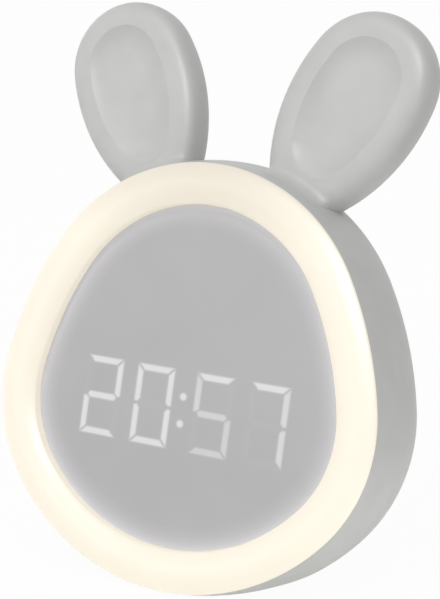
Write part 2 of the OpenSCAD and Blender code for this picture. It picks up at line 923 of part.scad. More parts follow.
// the grip rests at one end of its slot and slides towards the middle of the clock
module slide_grip() {
    rest = [slide_place.x + slide_travel / 2, slide_place.y];
    ridge = 0.4;
    ridge_pitch = 1.1;
    color(rubber_grey)
        translate([rest.x, rest.y, 0]) {
            translate([0, 0, -case_depth - grip_height])
                linear_extrude(case_depth + grip_height - flange_depth + over)
                    square([grip_length, grip_width], center = true);
            for (x = [-1:1])
                translate([x * ridge_pitch, 0, -case_depth - grip_height - ridge])
                    linear_extrude(ridge + over)
                        square([ridge, grip_width], center = true);
            translate([0, 0, -flange_depth])
                linear_extrude(flange_thickness)
                    square(slide_plate, center = true);
            translate([0, 0, -flange_depth + flange_thickness - over])
                linear_extrude(flange_depth - flange_thickness - slide_face - fit_gap + over)
                    square([grip_width, grip_width], center = true);
        }
}
usb_wall = 0.3;
usb_recess = 0.7;
usb_floor = 2;
usb_back = case_depth - usb_recess;
usb_length = usb_back - rear_board_back;
module usb_shell() {
    color(steel)
        translate([usb_place.x, usb_place.y, -usb_back])
            difference() {
                linear_extrude(usb_length)
                    slot(usb_width, usb_height);
                translate([0, 0, -join])
                    linear_extrude(usb_length - usb_floor + join)
                        slot(usb_width - 2 * usb_wall, usb_height - 2 * usb_wall);
            }
}
module usb_tongue() {
    tongue_size = [6.7, 0.7];
    color(black)
        translate([usb_place.x, usb_place.y, -usb_back + join])
            linear_extrude(usb_length - usb_floor - join)
                square(tongue_size, center = true);
}

// ---- speaker ----
gasket_thickness = 0.5;
gasket_width = 1.8;
gasket_inner = speaker_diameter / 2 - gasket_width;
speaker_back = back_inside - gasket_thickness;
magnet_radius = speaker_diameter / 2 - 5;
basket_front = speaker_back - speaker_depth;
magnet_thickness = 3;
basket_rim = 2;
basket_rim_depth = 1.2;
basket_rim_front = speaker_back - basket_rim_depth;
basket_metal = 0.6;
cone_setback = 2.6;
cone_skin = 0.4;
cone_front = basket_front + 1;
cone_hub = 3.6;
cone_dome = 0.8;
module speaker_gasket() {
    color(black)
        difference() {
            rod(speaker_place, speaker_diameter / 2, speaker_back, back_inside);
            rod(speaker_place, gasket_inner, speaker_back - join, back_inside + join);
        }
}
module speaker_basket() {
    edge = speaker_diameter / 2;
    color(steel)
        translate([speaker_place.x, speaker_place.y, 0])
            rotate_extrude()
                polygon([
                    [0, -basket_front],
                    [magnet_radius, -basket_front],
                    [edge - basket_rim, -basket_rim_front],
                    [edge, -basket_rim_front],
                    [edge, -speaker_back],
                    [edge - basket_rim + basket_metal, -speaker_back],
                    [edge - basket_rim - basket_metal, -basket_rim_front - basket_metal],
                    [magnet_radius - basket_metal, -basket_front - basket_metal],
                    [0, -basket_front - basket_metal],
                ]);
}
module speaker_cone() {
    edge = speaker_diameter / 2 - cone_setback;
    color("#3a3b3e")
        translate([speaker_place.x, speaker_place.y, 0])
            rotate_extrude()
                polygon([
                    [0, -cone_front - cone_dome],
                    [cone_hub, -cone_front],
                    [edge, -speaker_back + cone_skin],
                    [edge, -speaker_back],
                    [cone_hub, -cone_front - cone_skin],
                    [0, -cone_front - cone_dome - cone_skin],
                ]);
}
module speaker_magnet() {
    color("#6c6e72")
        rod(speaker_place, magnet_radius, basket_front - magnet_thickness, basket_front);
}

// ---- battery ----
tape_thickness = 1;
tape_width = 6;
tape_inset = 5;
battery_back = rear_board_front - tape_thickness;
battery_middle = battery_back - battery_thickness / 2;
module battery_tape() {
    length = battery_width - 2 * tape_inset;
    color("#3c3c3c")
        translate([-length / 2, battery_height / 2 - tape_width, -rear_board_front])
            cube([length, tape_width, tape_thickness]);
}
module battery() {
    color("#a9adb3")
        translate([0, battery_height / 2, -battery_middle])
            rotate([90, 0, 0])
                linear_extrude(battery_height)
                    slot(battery_width, battery_thickness);
}

// ---- leads ----
lead_radius = 0.6;
lead_sides = 10;
bend_steps = 5;
lead_colours = ["#b03a34", black];
// a ring of a lead round a point in the plane of X and depth, facing along an angle in it
function lead_ring(point, angle, y) = [
    for (i = [0:lead_sides - 1])
        let (spoke = lead_radius * unit(360 * i / lead_sides))
        [point.x + spoke.x * cos(angle), y + spoke.y, -point.y + spoke.x * sin(angle)]
];
// a lead that runs back from a start, turns once and runs across to an end, both [x, depth]
module elbow_lead(start, end, bend, y) {
    side = end.x > start.x ? 1 : -1;
    centre = [start.x + side * bend, end.y - bend];
    turn = side > 0 ? 1 : -1;
    loft(concat(
        [lead_ring(start, 0, y)],
        [
            for (i = [0:bend_steps])
                let (angle = 90 * i / bend_steps)
                lead_ring(centre + bend * [-side * cos(angle), sin(angle)], turn * angle, y)
        ],
        [lead_ring(end, turn * 90, y)]
    ));
}
lead_pair = 1.4;
battery_lead_bend = 5;
module battery_leads() {
    for (i = [0, 1])
        color(lead_colours[i])
            elbow_lead(
                [battery_socket_place.x, main_back + socket_size.z],
                [-battery_width / 2, battery_middle],
                battery_lead_bend, (2 * i - 1) * lead_pair
            );
}
ring_lead_bend = 6;
module ring_lead() {
    color("#e8e4da")
        elbow_lead(
            [lead_place.x, frame_depth],
            [main_board_width / 2, main_back + socket_size.z / 2],
            ring_lead_bend, 0
        );
}
// a bow of ribbon or wire in the plane of an angle across the face and Z, between two depths
module bow(place, from, to, sag, out) {
    chord = to - from;
    radius = (chord * chord / 4 + sag * sag) / (2 * sag);
    half_angle = asin(chord / 2 / radius);
    translate([place.x, place.y, -(from + to) / 2])
        rotate([0, 0, out])
            translate([sag - radius, 0, 0])
                rotate([90, 0, 0])
                    rotate([0, 0, -half_angle])
                        rotate_extrude(angle = 2 * half_angle)
                            translate([radius, 0])
                                children();
}
bow_gap = 0.2; // keeps a bow's slanting ends clear of what it reaches
speaker_lead_sag = 0.4;
speaker_lead_inset = 1.1;
module speaker_leads() {
    for (i = [0, 1])
        color(lead_colours[i])
            bow(
                speaker_place + [(2 * i - 1) * lead_pair, speaker_diameter / 2 - speaker_lead_inset],
                rear_board_back + bow_gap, basket_rim_front - bow_gap,
                speaker_lead_sag, 90
            )
                circle(lead_radius);
}
ribbon_sag = 4;
ribbon_thickness = 0.5;
module ribbon_cable() {
    color("#c9ccd2")
        bow(
            ribbon_place,
            main_back + ribbon_socket.z + bow_gap, rear_board_front - bow_gap,
            ribbon_sag, -90
        )
            square([ribbon_thickness, ribbon_width], center = true);
}

// ---- touch sensor under the top of the case ----
touch_front = 9;
touch_rear = 20;
touch_grow = min(grow_at(touch_front, wall), grow_at(touch_rear, wall)) - 2 * fit_gap;
touch_metal = 0.3;
touch_span = 40;
module touch_plate() {
    color("#c98a52")
        translate([top_centre.x, top_centre.y, 0])
            rotate([0, 0, 90 - touch_span / 2])
                rotate_extrude(angle = touch_span)
                    translate([top_radius + touch_grow - touch_metal, -touch_rear])
                        square([touch_metal, touch_rear - touch_front]);
}
touch_lead_lap = 2;
module touch_lead() {
    low = main_board_height / 2 - digits_drop - touch_lead_lap;
    high = top_centre.y + top_radius + touch_grow - touch_metal - fit_gap;
    color(black)
        translate([0, low, -main_back - lead_radius])
            rotate([-90, 0, 0])
                cylinder(r = lead_radius, h = high - low);
}

// ---- screws ----
screw_head_height = 1.8;
board_screw_head = 2;
board_screw_rise = 1.2;
screw_tip_gap = 1;
module cover_screws() {
    color(steel)
        for (place = cover_screw_places) {
            rod(place, screw_diameter / 2, post_depth - pilot_depth + screw_tip_gap, screw_seat_depth);
            rod(place, screw_head / 2, screw_seat_depth, screw_seat_depth + screw_head_height);
        }
}
module board_screws() {
    color(steel) {
        for (place = main_screw_places) {
            rod(place, board_screw_radius, plate_back, main_back);
            rod(place, board_screw_head, main_back, main_back + board_screw_rise);
        }
        for (place = standoff_places) {
            rod(place, board_screw_radius, rear_board_front, back_inside - pilot_floor - screw_tip_gap);
            rod(place, board_screw_head, rear_board_front - board_screw_rise, rear_board_front);
        }
    }
}

// ---- base pad ----
module base_pad() {
    color(rubber_grey)
        difference() {
            pad_form(0, pad_thickness - pad_proud);
            below_base(-pad_proud);
        }
}

placed() front_housing();
placed() rear_cover();
placed() ear_back_left();
placed() ear_back_right();
placed() light_ring();
placed() display_panel();
placed() light_frame();
placed() display_block();
placed() lit_bars();
placed() unlit_bars();
placed() colon_dots();
placed() ring_board();
placed() ring_leds();
placed() main_board();
placed() main_chip();
placed() clock_crystal();
placed() cell_holder();
placed() coin_cell();
placed() board_sockets();
placed() rear_board();
placed() switch_bodies();
placed() clock_button();
placed() alarm_button();
placed() plus_button();
placed() minus_button();
placed() clock_plunger();
placed() alarm_plunger();
placed() plus_plunger();
placed() minus_plunger();
placed() slide_switch();
placed() slide_grip();
placed() usb_shell();
placed() usb_tongue();
placed() speaker_basket();
placed() speaker_cone();
placed() speaker_magnet();
placed() speaker_gasket();
placed() battery();
placed() battery_tape();
placed() battery_leads();
placed() speaker_leads();
placed() ring_lead();
placed() ribbon_cable();
placed() touch_plate();
placed() touch_lead();
placed() cover_screws();
placed() board_screws();
placed() base_pad();
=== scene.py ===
import math

import bmesh
import bpy
from mathutils import Matrix, Vector
from mathutils.bvhtree import BVHTree


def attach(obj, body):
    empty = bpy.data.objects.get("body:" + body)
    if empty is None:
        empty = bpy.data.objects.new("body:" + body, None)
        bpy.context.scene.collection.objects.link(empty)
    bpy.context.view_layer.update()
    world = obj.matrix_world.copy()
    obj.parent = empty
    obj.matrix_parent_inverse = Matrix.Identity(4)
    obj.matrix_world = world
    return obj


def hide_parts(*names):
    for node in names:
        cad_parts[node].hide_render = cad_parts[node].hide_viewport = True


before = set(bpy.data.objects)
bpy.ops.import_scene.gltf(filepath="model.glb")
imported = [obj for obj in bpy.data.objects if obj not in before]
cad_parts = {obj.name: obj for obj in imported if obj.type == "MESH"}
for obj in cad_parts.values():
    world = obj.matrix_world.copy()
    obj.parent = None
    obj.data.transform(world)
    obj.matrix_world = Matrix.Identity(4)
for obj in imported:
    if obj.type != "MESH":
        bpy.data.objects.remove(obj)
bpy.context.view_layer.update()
print("frame loaded")

# Alarm clock with a night light. Pieces are shaped in millimetres with the face lying flat:
# x across it, y up it, z out of it. settle() then stands each one up on the base, in metres.

caseSizes = {
    "topRadius": 48, "topRise": 12.1, "topEnd": 30,  # the arc over the top
    "sideRadius": 96, "sideEnd": 10.5,  # the short, straighter side arcs
    "cornerRadius": 40.5, "cornerEnd": 40.5,  # the lower corners
    "lean": 16.4, "depth": 42, "swell": 2.2, "swellDepth": 14, "backInset": 21.5,
    "splitDepth": 27, "rimHeight": 2, "wall": 2.2, "fitGap": 0.15,
    "baseClearance": 0.3, "baseSoftness": 4.5, "baseRamp": 10, "sharpest": 0.05,
    "outlineSteps": (32, 36, 14, 40), "frontLoops": 22, "backLoops": 22,
    "seam": 0.28,  # how far the edges at the seams are broken
}
padSizes = {
    "width": 34, "length": 26, "corner": 5, "thickness": 1.6, "proud": 0.6, "setback": 12.4,
    "edge": 0.35, "cornerSteps": 10,
}


def unit(angle):
    return Vector((math.cos(math.radians(angle)), math.sin(math.radians(angle)), 0))


def eased(part):  # 0 to 1 with a soft start and end
    part = max(0, min(1, part))
    return part * part * (3 - 2 * part)


# the outline's arcs meet smoothly, so each centre follows from the one before
topCentre = Vector((0, caseSizes["topRise"], 0))
sideCentre = topCentre + (
    caseSizes["topRadius"] - caseSizes["sideRadius"]) * unit(caseSizes["topEnd"])
cornerCentre = sideCentre + (
    caseSizes["sideRadius"] - caseSizes["cornerRadius"]) * unit(caseSizes["sideEnd"])
cornerTurn = math.radians(caseSizes["cornerEnd"])
bottomRadius = caseSizes["cornerRadius"] + cornerCentre.x / math.cos(cornerTurn)
bottomCentre = cornerCentre + (
    caseSizes["cornerRadius"] - bottomRadius) * unit(-caseSizes["cornerEnd"])
outlineBottom = bottomCentre.y - bottomRadius

leanSine = math.sin(math.radians(caseSizes["lean"]))
leanCosine = math.cos(math.radians(caseSizes["lean"]))
baseLevel = (outlineBottom * leanCosine + caseSizes["rimHeight"] * leanSine
             - caseSizes["baseClearance"])
baseFront = outlineBottom * leanSine - caseSizes["rimHeight"] * leanCosine
padMiddle = baseFront + padSizes["setback"] + padSizes["length"] / 2
standing = Matrix.Translation((0, -padMiddle, padSizes["proud"] - baseLevel)) @ Matrix.Rotation(
    math.radians(90 - caseSizes["lean"]), 4, "X")
faceToRow = Matrix.Scale(0.001, 4) @ standing  # the last step for every piece drawn on the face
millimetres = Matrix.Scale(0.001, 4)


# finishes
def hexColour(code):
    parts = [int(code[i:i + 2], 16) / 255 for i in (1, 3, 5)]
    return [p / 12.92 if p <= 0.04045 else ((p + 0.055) / 1.055) ** 2.4 for p in parts] + [1]


def fillInputs(material, made, inputs):  # _6 stands for the seventh input
    for name, value in inputs.items():
        socket = made.inputs[int(name[1:]) if name[1:].isdigit() else name.replace("_", " ")]
        if isinstance(value, bpy.types.NodeSocket):
            material.node_tree.links.new(value, socket)
        else:
            socket.default_value = value


def addNode(material, kind, settings=None, **inputs):
    made = material.node_tree.nodes.new("ShaderNode" + kind)
    for name, value in (settings or {}).items():
        setattr(made, name, value)
    fillInputs(material, made, inputs)
    return made


def newMaterial(name, **shaderInputs):
    material = bpy.data.materials.new(name)
    material.use_nodes = True
    shader = material.node_tree.nodes["Principled BSDF"]
    fillInputs(material, shader, shaderInputs)
    return material, shader


def noise(material, place, size, detail):  # size is in millimetres
    return addNode(material, "TexNoise", Vector=place, Scale=1000 / size,
                   Detail=detail).outputs["Fac"]


def ranged(material, value, low=0.0, high=1.0, start=0.3, end=0.7):
    return addNode(material, "MapRange", _0=value, _1=start, _2=end, _3=low,
                   _4=high).outputs["Result"]


def blend(material, share, first, second):
    return addNode(material, "Mix", {"data_type": "RGBA"}, Factor=share, _6=first,
                   _7=second).outputs[2]


def times(material, first, second):
    return addNode(material, "Math", {"operation": "MULTIPLY"}, _0=first, _1=second).outputs[0]


def bumped(material, grain, strength, height):  # height is in millimetres
    return addNode(material, "Bump", Height=grain, Strength=strength,
                   Distance=height / 1000).outputs["Normal"]


def grainedMaterial(name, look, **shaderInputs):  # mottle, grain and bump height in millimetres
    material, shader = newMaterial(name, **shaderInputs)
    place = addNode(material, "TexCoord").outputs["Object"]
    mottle = noise(material, place, look["mottle"], 3.0)
    grain = noise(material, place, look["grain"], 4.0)
    dark, light = [hexColour(code) for code in look["tones"]]
    fillInputs(material, shader, {
        "Base Color": blend(material, ranged(material, mottle), dark, light),
        "Roughness": ranged(material, grain, *look["roughness"]),
        "Normal": bumped(material, grain, *look["bump"])})
    return material


finishes = {
    # satin moulded ABS: soft broad highlights with a trace of spark-eroded grain
    "case_plastic": grainedMaterial("casePlasticSatinAbs", {
        "tones": ("#c3c4c2", "#c8c9c7"), "mottle": 9, "grain": 0.32, "roughness": (0.42, 0.55),
        "bump": (0.3, 0.012)}, IOR=1.5),
    # the same ABS in a shade darker, touched more, so a little shinier
    "button_plastic": grainedMaterial("buttonPlasticAbs", {
        "tones": ("#b3b5b4", "#babcbb"), "mottle": 5, "grain": 0.3, "roughness": (0.34, 0.46),
        "bump": (0.25, 0.01)}, IOR=1.5),
    # silicone rubber: matt, with a fine cast grain that catches dust
    "silicone": grainedMaterial("padSiliconeCast", {
        "tones": ("#858786", "#939594"), "mottle": 4, "grain": 0.5, "roughness": (0.68, 0.85),
        "bump": (0.5, 0.03)}, IOR=1.41),
    # moulded polystyrene: plain cool white with a low sheen
    "white_plastic": grainedMaterial("framePlasticPolystyrene", {
        "tones": ("#e6e6e1", "#efefeb"), "mottle": 12, "grain": 0.5, "roughness": (0.35, 0.5),
        "bump": (0.2, 0.01)}, IOR=1.55),
    # moulded nylon of plugs and sockets: a waxy warm white
    "cream_plastic": grainedMaterial("plugPlasticNylon", {
        "tones": ("#ece7d8", "#f6f2e6"), "mottle": 3, "grain": 0.2, "roughness": (0.4, 0.55),
        "bump": (0.2, 0.01)}, IOR=1.53),
    # moulded black nylon: near black, with satin edges that catch the light
    "black_plastic": grainedMaterial("partPlasticBlackNylon", {
        "tones": ("#202124", "#2b2c30"), "mottle": 3, "grain": 0.2, "roughness": (0.4, 0.58),
        "bump": (0.3, 0.012)}, IOR=1.53),
    # glass epoxy board under green solder mask: glossy over a fine weave
    "circuit_board": grainedMaterial("boardGreenSolderMask", {
        "tones": ("#28603c", "#34744c"), "mottle": 2.2, "grain": 0.6, "roughness": (0.22, 0.4),
        "bump": (0.25, 0.02)}, IOR=1.52),
    # the same board under white solder mask: a bright, hard gloss
    "white_board": grainedMaterial("boardWhiteSolderMask", {
        "tones": ("#e9e8e2", "#f4f3ee"), "mottle": 2.2, "grain": 0.6, "roughness": (0.25, 0.42),
        "bump": (0.2, 0.02)}, IOR=1.52),
    # zinc-plated steel: pale grey metal with a slightly cloudy shine
    "steel": grainedMaterial("screwSteelZincPlated", {
        "tones": ("#a8abad", "#bcbfc1"), "mottle": 1.5, "grain": 0.15, "roughness": (0.24, 0.4),
        "bump": (0.25, 0.006)}, Metallic=1.0),
    # ground ferrite: dull dark grey with fine grinding marks
    "magnet": grainedMaterial("magnetFerriteGround", {
        "tones": ("#5d6064", "#74777b"), "mottle": 2, "grain": 0.12, "roughness": (0.4, 0.6),
        "bump": (0.35, 0.008)}, Metallic=0.7),
    # rolled copper: warm metal, dulled a little by handling
    "copper": grainedMaterial("touchCopperRolled", {
        "tones": ("#b87a48", "#cf9160"), "mottle": 4, "grain": 0.2, "roughness": (0.28, 0.45),
        "bump": (0.2, 0.005)}, Metallic=1.0),
    # laminated pouch foil: silvery, with the slow dents of a soft cell
    "battery_foil": grainedMaterial("batteryFoilLaminated", {
        "tones": ("#9fa3a9", "#b4b8bd"), "mottle": 7, "grain": 1.4, "roughness": (0.28, 0.42),
        "bump": (0.35, 0.05)}, Metallic=0.8),
    # pressed paper: matt charcoal with short fibres
    "cone_film": grainedMaterial("conePaperPressed", {
        "tones": ("#2f3032", "#434447"), "mottle": 1.2, "grain": 0.25, "roughness": (0.6, 0.8),
        "bump": (0.5, 0.02)}, IOR=1.45),
    # die-cut foam: fully matt, with open cells
    "foam": grainedMaterial("gasketFoamDieCut", {
        "tones": ("#232325", "#3b3b3e"), "mottle": 0.6, "grain": 0.35, "roughness": (0.8, 0.95),
        "bump": (0.8, 0.08)}, IOR=1.45),
    # extruded PVC ribbon: smooth pale grey
    "ribbon": grainedMaterial("ribbonPvcExtruded", {
        "tones": ("#bec2c9", "#cfd2d8"), "mottle": 3, "grain": 0.4, "roughness": (0.35, 0.5),
        "bump": (0.2, 0.01)}, IOR=1.53),
    # extruded PVC lead covering: smooth warm white
    "lead_insulation": grainedMaterial("leadPvcExtruded", {
        "tones": ("#c9c4b8", "#dcd7cc"), "mottle": 3, "grain": 0.4, "roughness": (0.35, 0.5),
        "bump": (0.2, 0.01)}, IOR=1.53),
    # cast resin over phosphor: clear yellow and slightly shiny
    "led_package": grainedMaterial("ledResinPhosphor", {
        "tones": ("#f0d98c", "#f7e6ab"), "mottle": 1.2, "grain": 0.3, "roughness": (0.25, 0.4),
        "bump": (0.1, 0.005)}, IOR=1.5),
    # opal bars of the digit module, lit: near white with an even glow
    "lit_bar": grainedMaterial("barOpalLit", {
        "tones": ("#eeeef0", "#f6f6f8"), "mottle": 2, "grain": 0.3, "roughness": (0.4, 0.5),
        "bump": (0.1, 0.005)}, Emission_Color=hexColour("#f4f4f8"), Emission_Strength=0.6),
    # the same opal bars unlit: pale grey, and hardly seen
    "unlit_bar": grainedMaterial("barOpalUnlit", {
        "tones": ("#bdbdbe", "#c6c6c7"), "mottle": 2, "grain": 0.3, "roughness": (0.4, 0.5),
        "bump": (0.1, 0.005)}, IOR=1.5),
}
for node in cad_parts.values():
    for slot in node.material_slots:
        if slot.material and slot.material.name in finishes:
            slot.material = finishes[slot.material.name]
print("materials mixed")


# shaping, used by every piece
def arcLoop(bm, arcs, height):  # spins a point through the right half's arcs, then mirrors it
    before = set(bm.edges)
    lift = Vector((0, 0, height))
    centre, radius, start = arcs[0][:3]
    tip = bmesh.ops.create_vert(bm, co=centre + radius * unit(start) + lift)["vert"]
    for centre, radius, start, end, steps in arcs:
        turn = bmesh.ops.spin(bm, geom=tip, cent=centre + lift, axis=(0, 0, 1),
                              angle=math.radians(end - start), steps=steps)
        tip = [g for g in turn["geom_last"] if isinstance(g, bmesh.types.BMVert)]
    half = [e for e in bm.edges if e not in before]
    points = list({v for e in half for v in e.verts})
    bmesh.ops.mirror(bm, geom=points + half, matrix=Matrix.Identity(4), merge_dist=0.001, axis="X")
    return [e for e in bm.edges if e not in before]


def skin(bm, loops, closed=False):
    # flat neighbours are held apart while they are bridged, so that each pair meets the right way
    apart = [20 * (i % 2) for i in range(len(loops))]
    if closed and len(loops) % 2:
        apart[-1] = 40
    rings = [list({v for e in loop for v in e.verts}) for loop in loops]
    for ring, lift in zip(rings, apart):
        bmesh.ops.translate(bm, vec=(0, 0, lift), verts=ring)
    for near, beyond in zip(loops, loops[1:] + (loops[:1] if closed else [])):
        bmesh.ops.bridge_loops(bm, edges=near + beyond)
    for ring, lift in zip(rings, apart):
        bmesh.ops.translate(bm, vec=(0, 0, -lift), verts=ring)


def cap(bm, *loops):
    for loop in loops:
        bmesh.ops.edgeloop_fill(bm, edges=loop)


def solid(bm, loops):  # the loops skinned, with both ends closed
    skin(bm, loops)
    cap(bm, loops[0], loops[-1])


def turned(bm, profile, place=(0, 0), steps=32):  # profile is radius and height, along the axis
    before = set(bm.verts)
    tip = bmesh.ops.create_vert(bm, co=(profile[0][0], 0, profile[0][1]))["vert"]
    for radius, height in profile[1:]:
        tip = bmesh.ops.extrude_vert_indiv(bm, verts=tip)["verts"]
        tip[0].co = (radius, 0, height)
    made = [v for v in bm.verts if v not in before]
    line = list({e for v in made for e in v.link_edges})
    bmesh.ops.spin(bm, geom=made + line, cent=(0, 0, 0), axis=(0, 0, 1),
                   angle=math.radians(360), steps=steps, use_merge=True)
    made = [v for v in bm.verts if v not in before]
    bmesh.ops.remove_doubles(bm, verts=made, dist=0.0005)
    made = [v for v in bm.verts if v not in before]
    bmesh.ops.translate(bm, vec=(place[0], place[1], 0), verts=made)
    return made


def roundedBox(bm, size, centre, corner, cornerSteps, edge=0.0):  # edge softens the lower end
    before = set(bm.verts)
    cube = bmesh.ops.create_cube(bm, size=1)["verts"]
    bmesh.ops.scale(bm, vec=size, verts=cube)
    upright = [e for e in bm.edges if e.verts[0] in cube and
               abs(e.verts[0].co.z - e.verts[1].co.z) > size[2] / 2]
    bmesh.ops.bevel(bm, geom=upright, offset=corner, offset_type="OFFSET", affect="EDGES",
                    segments=cornerSteps, profile=0.5, material=-1)
    made = [v for v in bm.verts if v not in before]
    if edge:
        rim = [e for e in bm.edges if all(
            v in made and -v.co.z > size[2] / 2 - 0.001 for v in e.verts)]
        rim = [e for e in rim if len({round(f.normal.z, 2) for f in e.link_faces}) > 1 or
               abs(e.link_faces[0].normal.z) < 0.5 or abs(e.link_faces[1].normal.z) < 0.5]
        bmesh.ops.bevel(bm, geom=rim, offset=edge, offset_type="OFFSET", affect="EDGES",
                        segments=3, profile=0.5, material=-1)
    made = [v for v in bm.verts if v not in before]
    bmesh.ops.translate(bm, vec=centre, verts=made)
    return made


def sliceOff(bm, point, normal):  # keeps what lies behind a plane, and gives the cut's edges
    cut = bmesh.ops.bisect_plane(bm, geom=bm.verts[:] + bm.edges[:] + bm.faces[:], plane_co=point,
                                 plane_no=normal, clear_outer=True, dist=0.0001)
    return [g for g in cut["geom_cut"] if isinstance(g, bmesh.types.BMEdge)]


def asTool(bm):
    bmesh.ops.remove_doubles(bm, verts=bm.verts, dist=0.0005)
    bmesh.ops.recalc_face_normals(bm, faces=bm.faces)
    mesh = bpy.data.meshes.new("tool")
    bm.to_mesh(mesh)
    bm.free()
    tool = bpy.data.objects.new("tool", mesh)
    bpy.context.scene.collection.objects.link(tool)
    return tool


def turnedTool(profile, places, steps=32):  # the same turned shape at several places
    bm = bmesh.new()
    for place in places:
        turned(bm, profile, place, steps)
    return asTool(bm)


def carve(base, tool, operation, overlapping=False):
    change = base.modifiers.new("carve", "BOOLEAN")
    change.operation = operation
    change.solver = "EXACT"
    change.use_self = overlapping
    change.object = tool
    bpy.context.view_layer.update()
    shaped = bpy.data.meshes.new_from_object(
        base.evaluated_get(bpy.context.evaluated_depsgraph_get()))
    base.modifiers.clear()
    base.data = shaped
    bpy.data.objects.remove(tool)


def settle(tool, name, slotName, nodes, body="case", sharp=32, matrix=faceToRow,
           weighted=True):  # stands a finished piece in place of its nodes
    bm = bmesh.new()
    bm.from_mesh(tool.data)
    bmesh.ops.remove_doubles(bm, verts=bm.verts, dist=0.0005)
    bmesh.ops.dissolve_degenerate(bm, dist=0.0005, edges=bm.edges)
    bmesh.ops.transform(bm, matrix=matrix, verts=bm.verts)
    bm.to_mesh(tool.data)
    bm.free()
    tool.name = tool.data.name = name
    tool.data.materials.clear()
    tool.data.materials.append(finishes[slotName])
    tool.data.shade_smooth()
    tool.data.set_sharp_from_angle(angle=math.radians(sharp))
    if weighted:
        shading = tool.modifiers.new("shading", "WEIGHTED_NORMAL")
        shading.keep_sharp = True
    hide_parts(*nodes)
    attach(tool, body)
    print(name, len(tool.data.polygons), "faces")


# the case's outline, shared by housing, cover, ring and panel
def caseArcs(grow):
    steps = caseSizes["outlineSteps"]
    return [
        (bottomCentre, bottomRadius + grow, -90, -caseSizes["cornerEnd"], steps[0]),
        (cornerCentre, caseSizes["cornerRadius"] + grow, -caseSizes["cornerEnd"],
         caseSizes["sideEnd"], steps[1]),
        (sideCentre, caseSizes["sideRadius"] + grow, caseSizes["sideEnd"],
         caseSizes["topEnd"], steps[2]),
        (topCentre, caseSizes["topRadius"] + grow, caseSizes["topEnd"], 90, steps[3]),
    ]


backReach = caseSizes["swell"] + caseSizes["backInset"]
backRise = caseSizes["depth"] - caseSizes["swellDepth"]
swellReach = caseSizes["rimHeight"] + caseSizes["swellDepth"]
swellRadius = (caseSizes["swell"] ** 2 + swellReach ** 2) / (2 * caseSizes["swell"])
floorThickness = caseSizes["wall"] + caseSizes["baseSoftness"] / 4  # a soft edge rises by a quarter
insideLevel = baseLevel + floorThickness + caseSizes["fitGap"]  # as low as anything inside reaches


def growAt(depth, inset):  # how far the side stands out past the light ring's outline
    along = depth - caseSizes["swellDepth"]
    if along < 0:
        return caseSizes["swell"] - swellRadius + math.sqrt((swellRadius - inset) ** 2 - along ** 2)
    part = max(0, 1 - (along / (backRise - inset)) ** 2)
    return caseSizes["swell"] - backReach + (backReach - inset) * math.sqrt(part)


def caseLoop(bm, depth, inset=0.0, less=0.0):
    loop = arcLoop(bm, caseArcs(growAt(depth, inset) - less), -depth)
    if inset == 0:  # the side turns softly into the flat base
        line = (baseLevel + depth * leanSine) / leanCosine
        ramp = (depth + caseSizes["rimHeight"]) / caseSizes["baseRamp"]
        soft = caseSizes["baseSoftness"] * min(1, max(caseSizes["sharpest"], ramp))
        for v in {v for e in loop for v in e.verts}:
            if v.co.y < line - soft:
                v.co.y = line
            elif v.co.y < line + soft:
                v.co.y = line + (v.co.y - line + soft) ** 2 / (4 * soft)
    return loop


upFace = Vector((0, leanCosine, leanSine))  # straight up, in the face's frame


def cavity(depths):  # the room inside, above a level floor
    bm = bmesh.new()
    loops = [caseLoop(bm, depth, caseSizes["wall"]) for depth in depths]
    solid(bm, loops)
    bmesh.ops.recalc_face_normals(bm, faces=bm.faces)
    cap(bm, sliceOff(bm, upFace * (baseLevel + floorThickness), -upFace))
    return asTool(bm)


def padRecess():
    bm = bmesh.new()
    gap, tall = 2 * caseSizes["fitGap"], 12
    roundedBox(bm, (padSizes["width"] + gap, padSizes["length"] + gap, tall),
               (0, 0, padSizes["thickness"] - tall / 2), padSizes["corner"] + gap / 2,
               padSizes["cornerSteps"])
    bmesh.ops.transform(bm, matrix=standing.inverted(), verts=bm.verts)
    return asTool(bm)


# the two ears
earSizes = {
    "x": 34.2, "y": 84.8, "depth": 11.8, "lean": 26, "tipRadius": 17.5, "sideRadius": 48,
    "sideStart": 79, "thickness": 13, "root": 38, "border": 7.3, "reach": 26.5,
    "dishDepth": 1.8, "dishSlope": 6, "steps": (26, 36, 20), "roundLoops": 26, "dishLoops": 12,
    "lipWidth": 0.32, "lipHeight": 0.05,  # a fine lip round the dish
    "footHeight": 2.5, "footReach": 4.6, "footSink": 0.12,  # how softly an ear flows into the case
    "footStart": 0.25, "footRamp": 0.7,  # how far forward a face must turn to be softened
    "borderRows": 12,
    "fullness": 2.6,  # 2 is a round edge, more is squarer
    "plugThickness": 1.8, "plugStep": 1.6, "frontWall": 2, "pegRadius": 1.4, "pegBoss": 2.8,
    "pegLength": 4, "pegs": ((0, 4), (0, -18)), "pegTip": 0.4, "plugEdge": 0.25,
}
earHalf = earSizes["thickness"] / 2
earSideEnd = 90 - earSizes["sideStart"]
earSideCentre = (earSizes["tipRadius"] - earSizes["sideRadius"]) * unit(earSideEnd)


def earArcs(grow, foot):  # tip, sides and foot of an ear, seen from the front
    side = earSizes["sideRadius"] + grow
    footRadius = (side ** 2 - earSideCentre.x ** 2 - (foot - earSideCentre.y) ** 2) / (
        2 * (side + foot - earSideCentre.y))
    footCentre = Vector((0, foot + footRadius, 0))
    footEnd = math.degrees(math.atan2(footCentre.y - earSideCentre.y, -earSideCentre.x))
    steps = earSizes["steps"]
    return [
        (footCentre, footRadius, -90, footEnd, steps[0]),
        (earSideCentre, side, footEnd, earSideEnd, steps[1]),
        (Vector((0, 0, 0)), earSizes["tipRadius"] + grow, earSideEnd, 90, steps[2]),
    ]


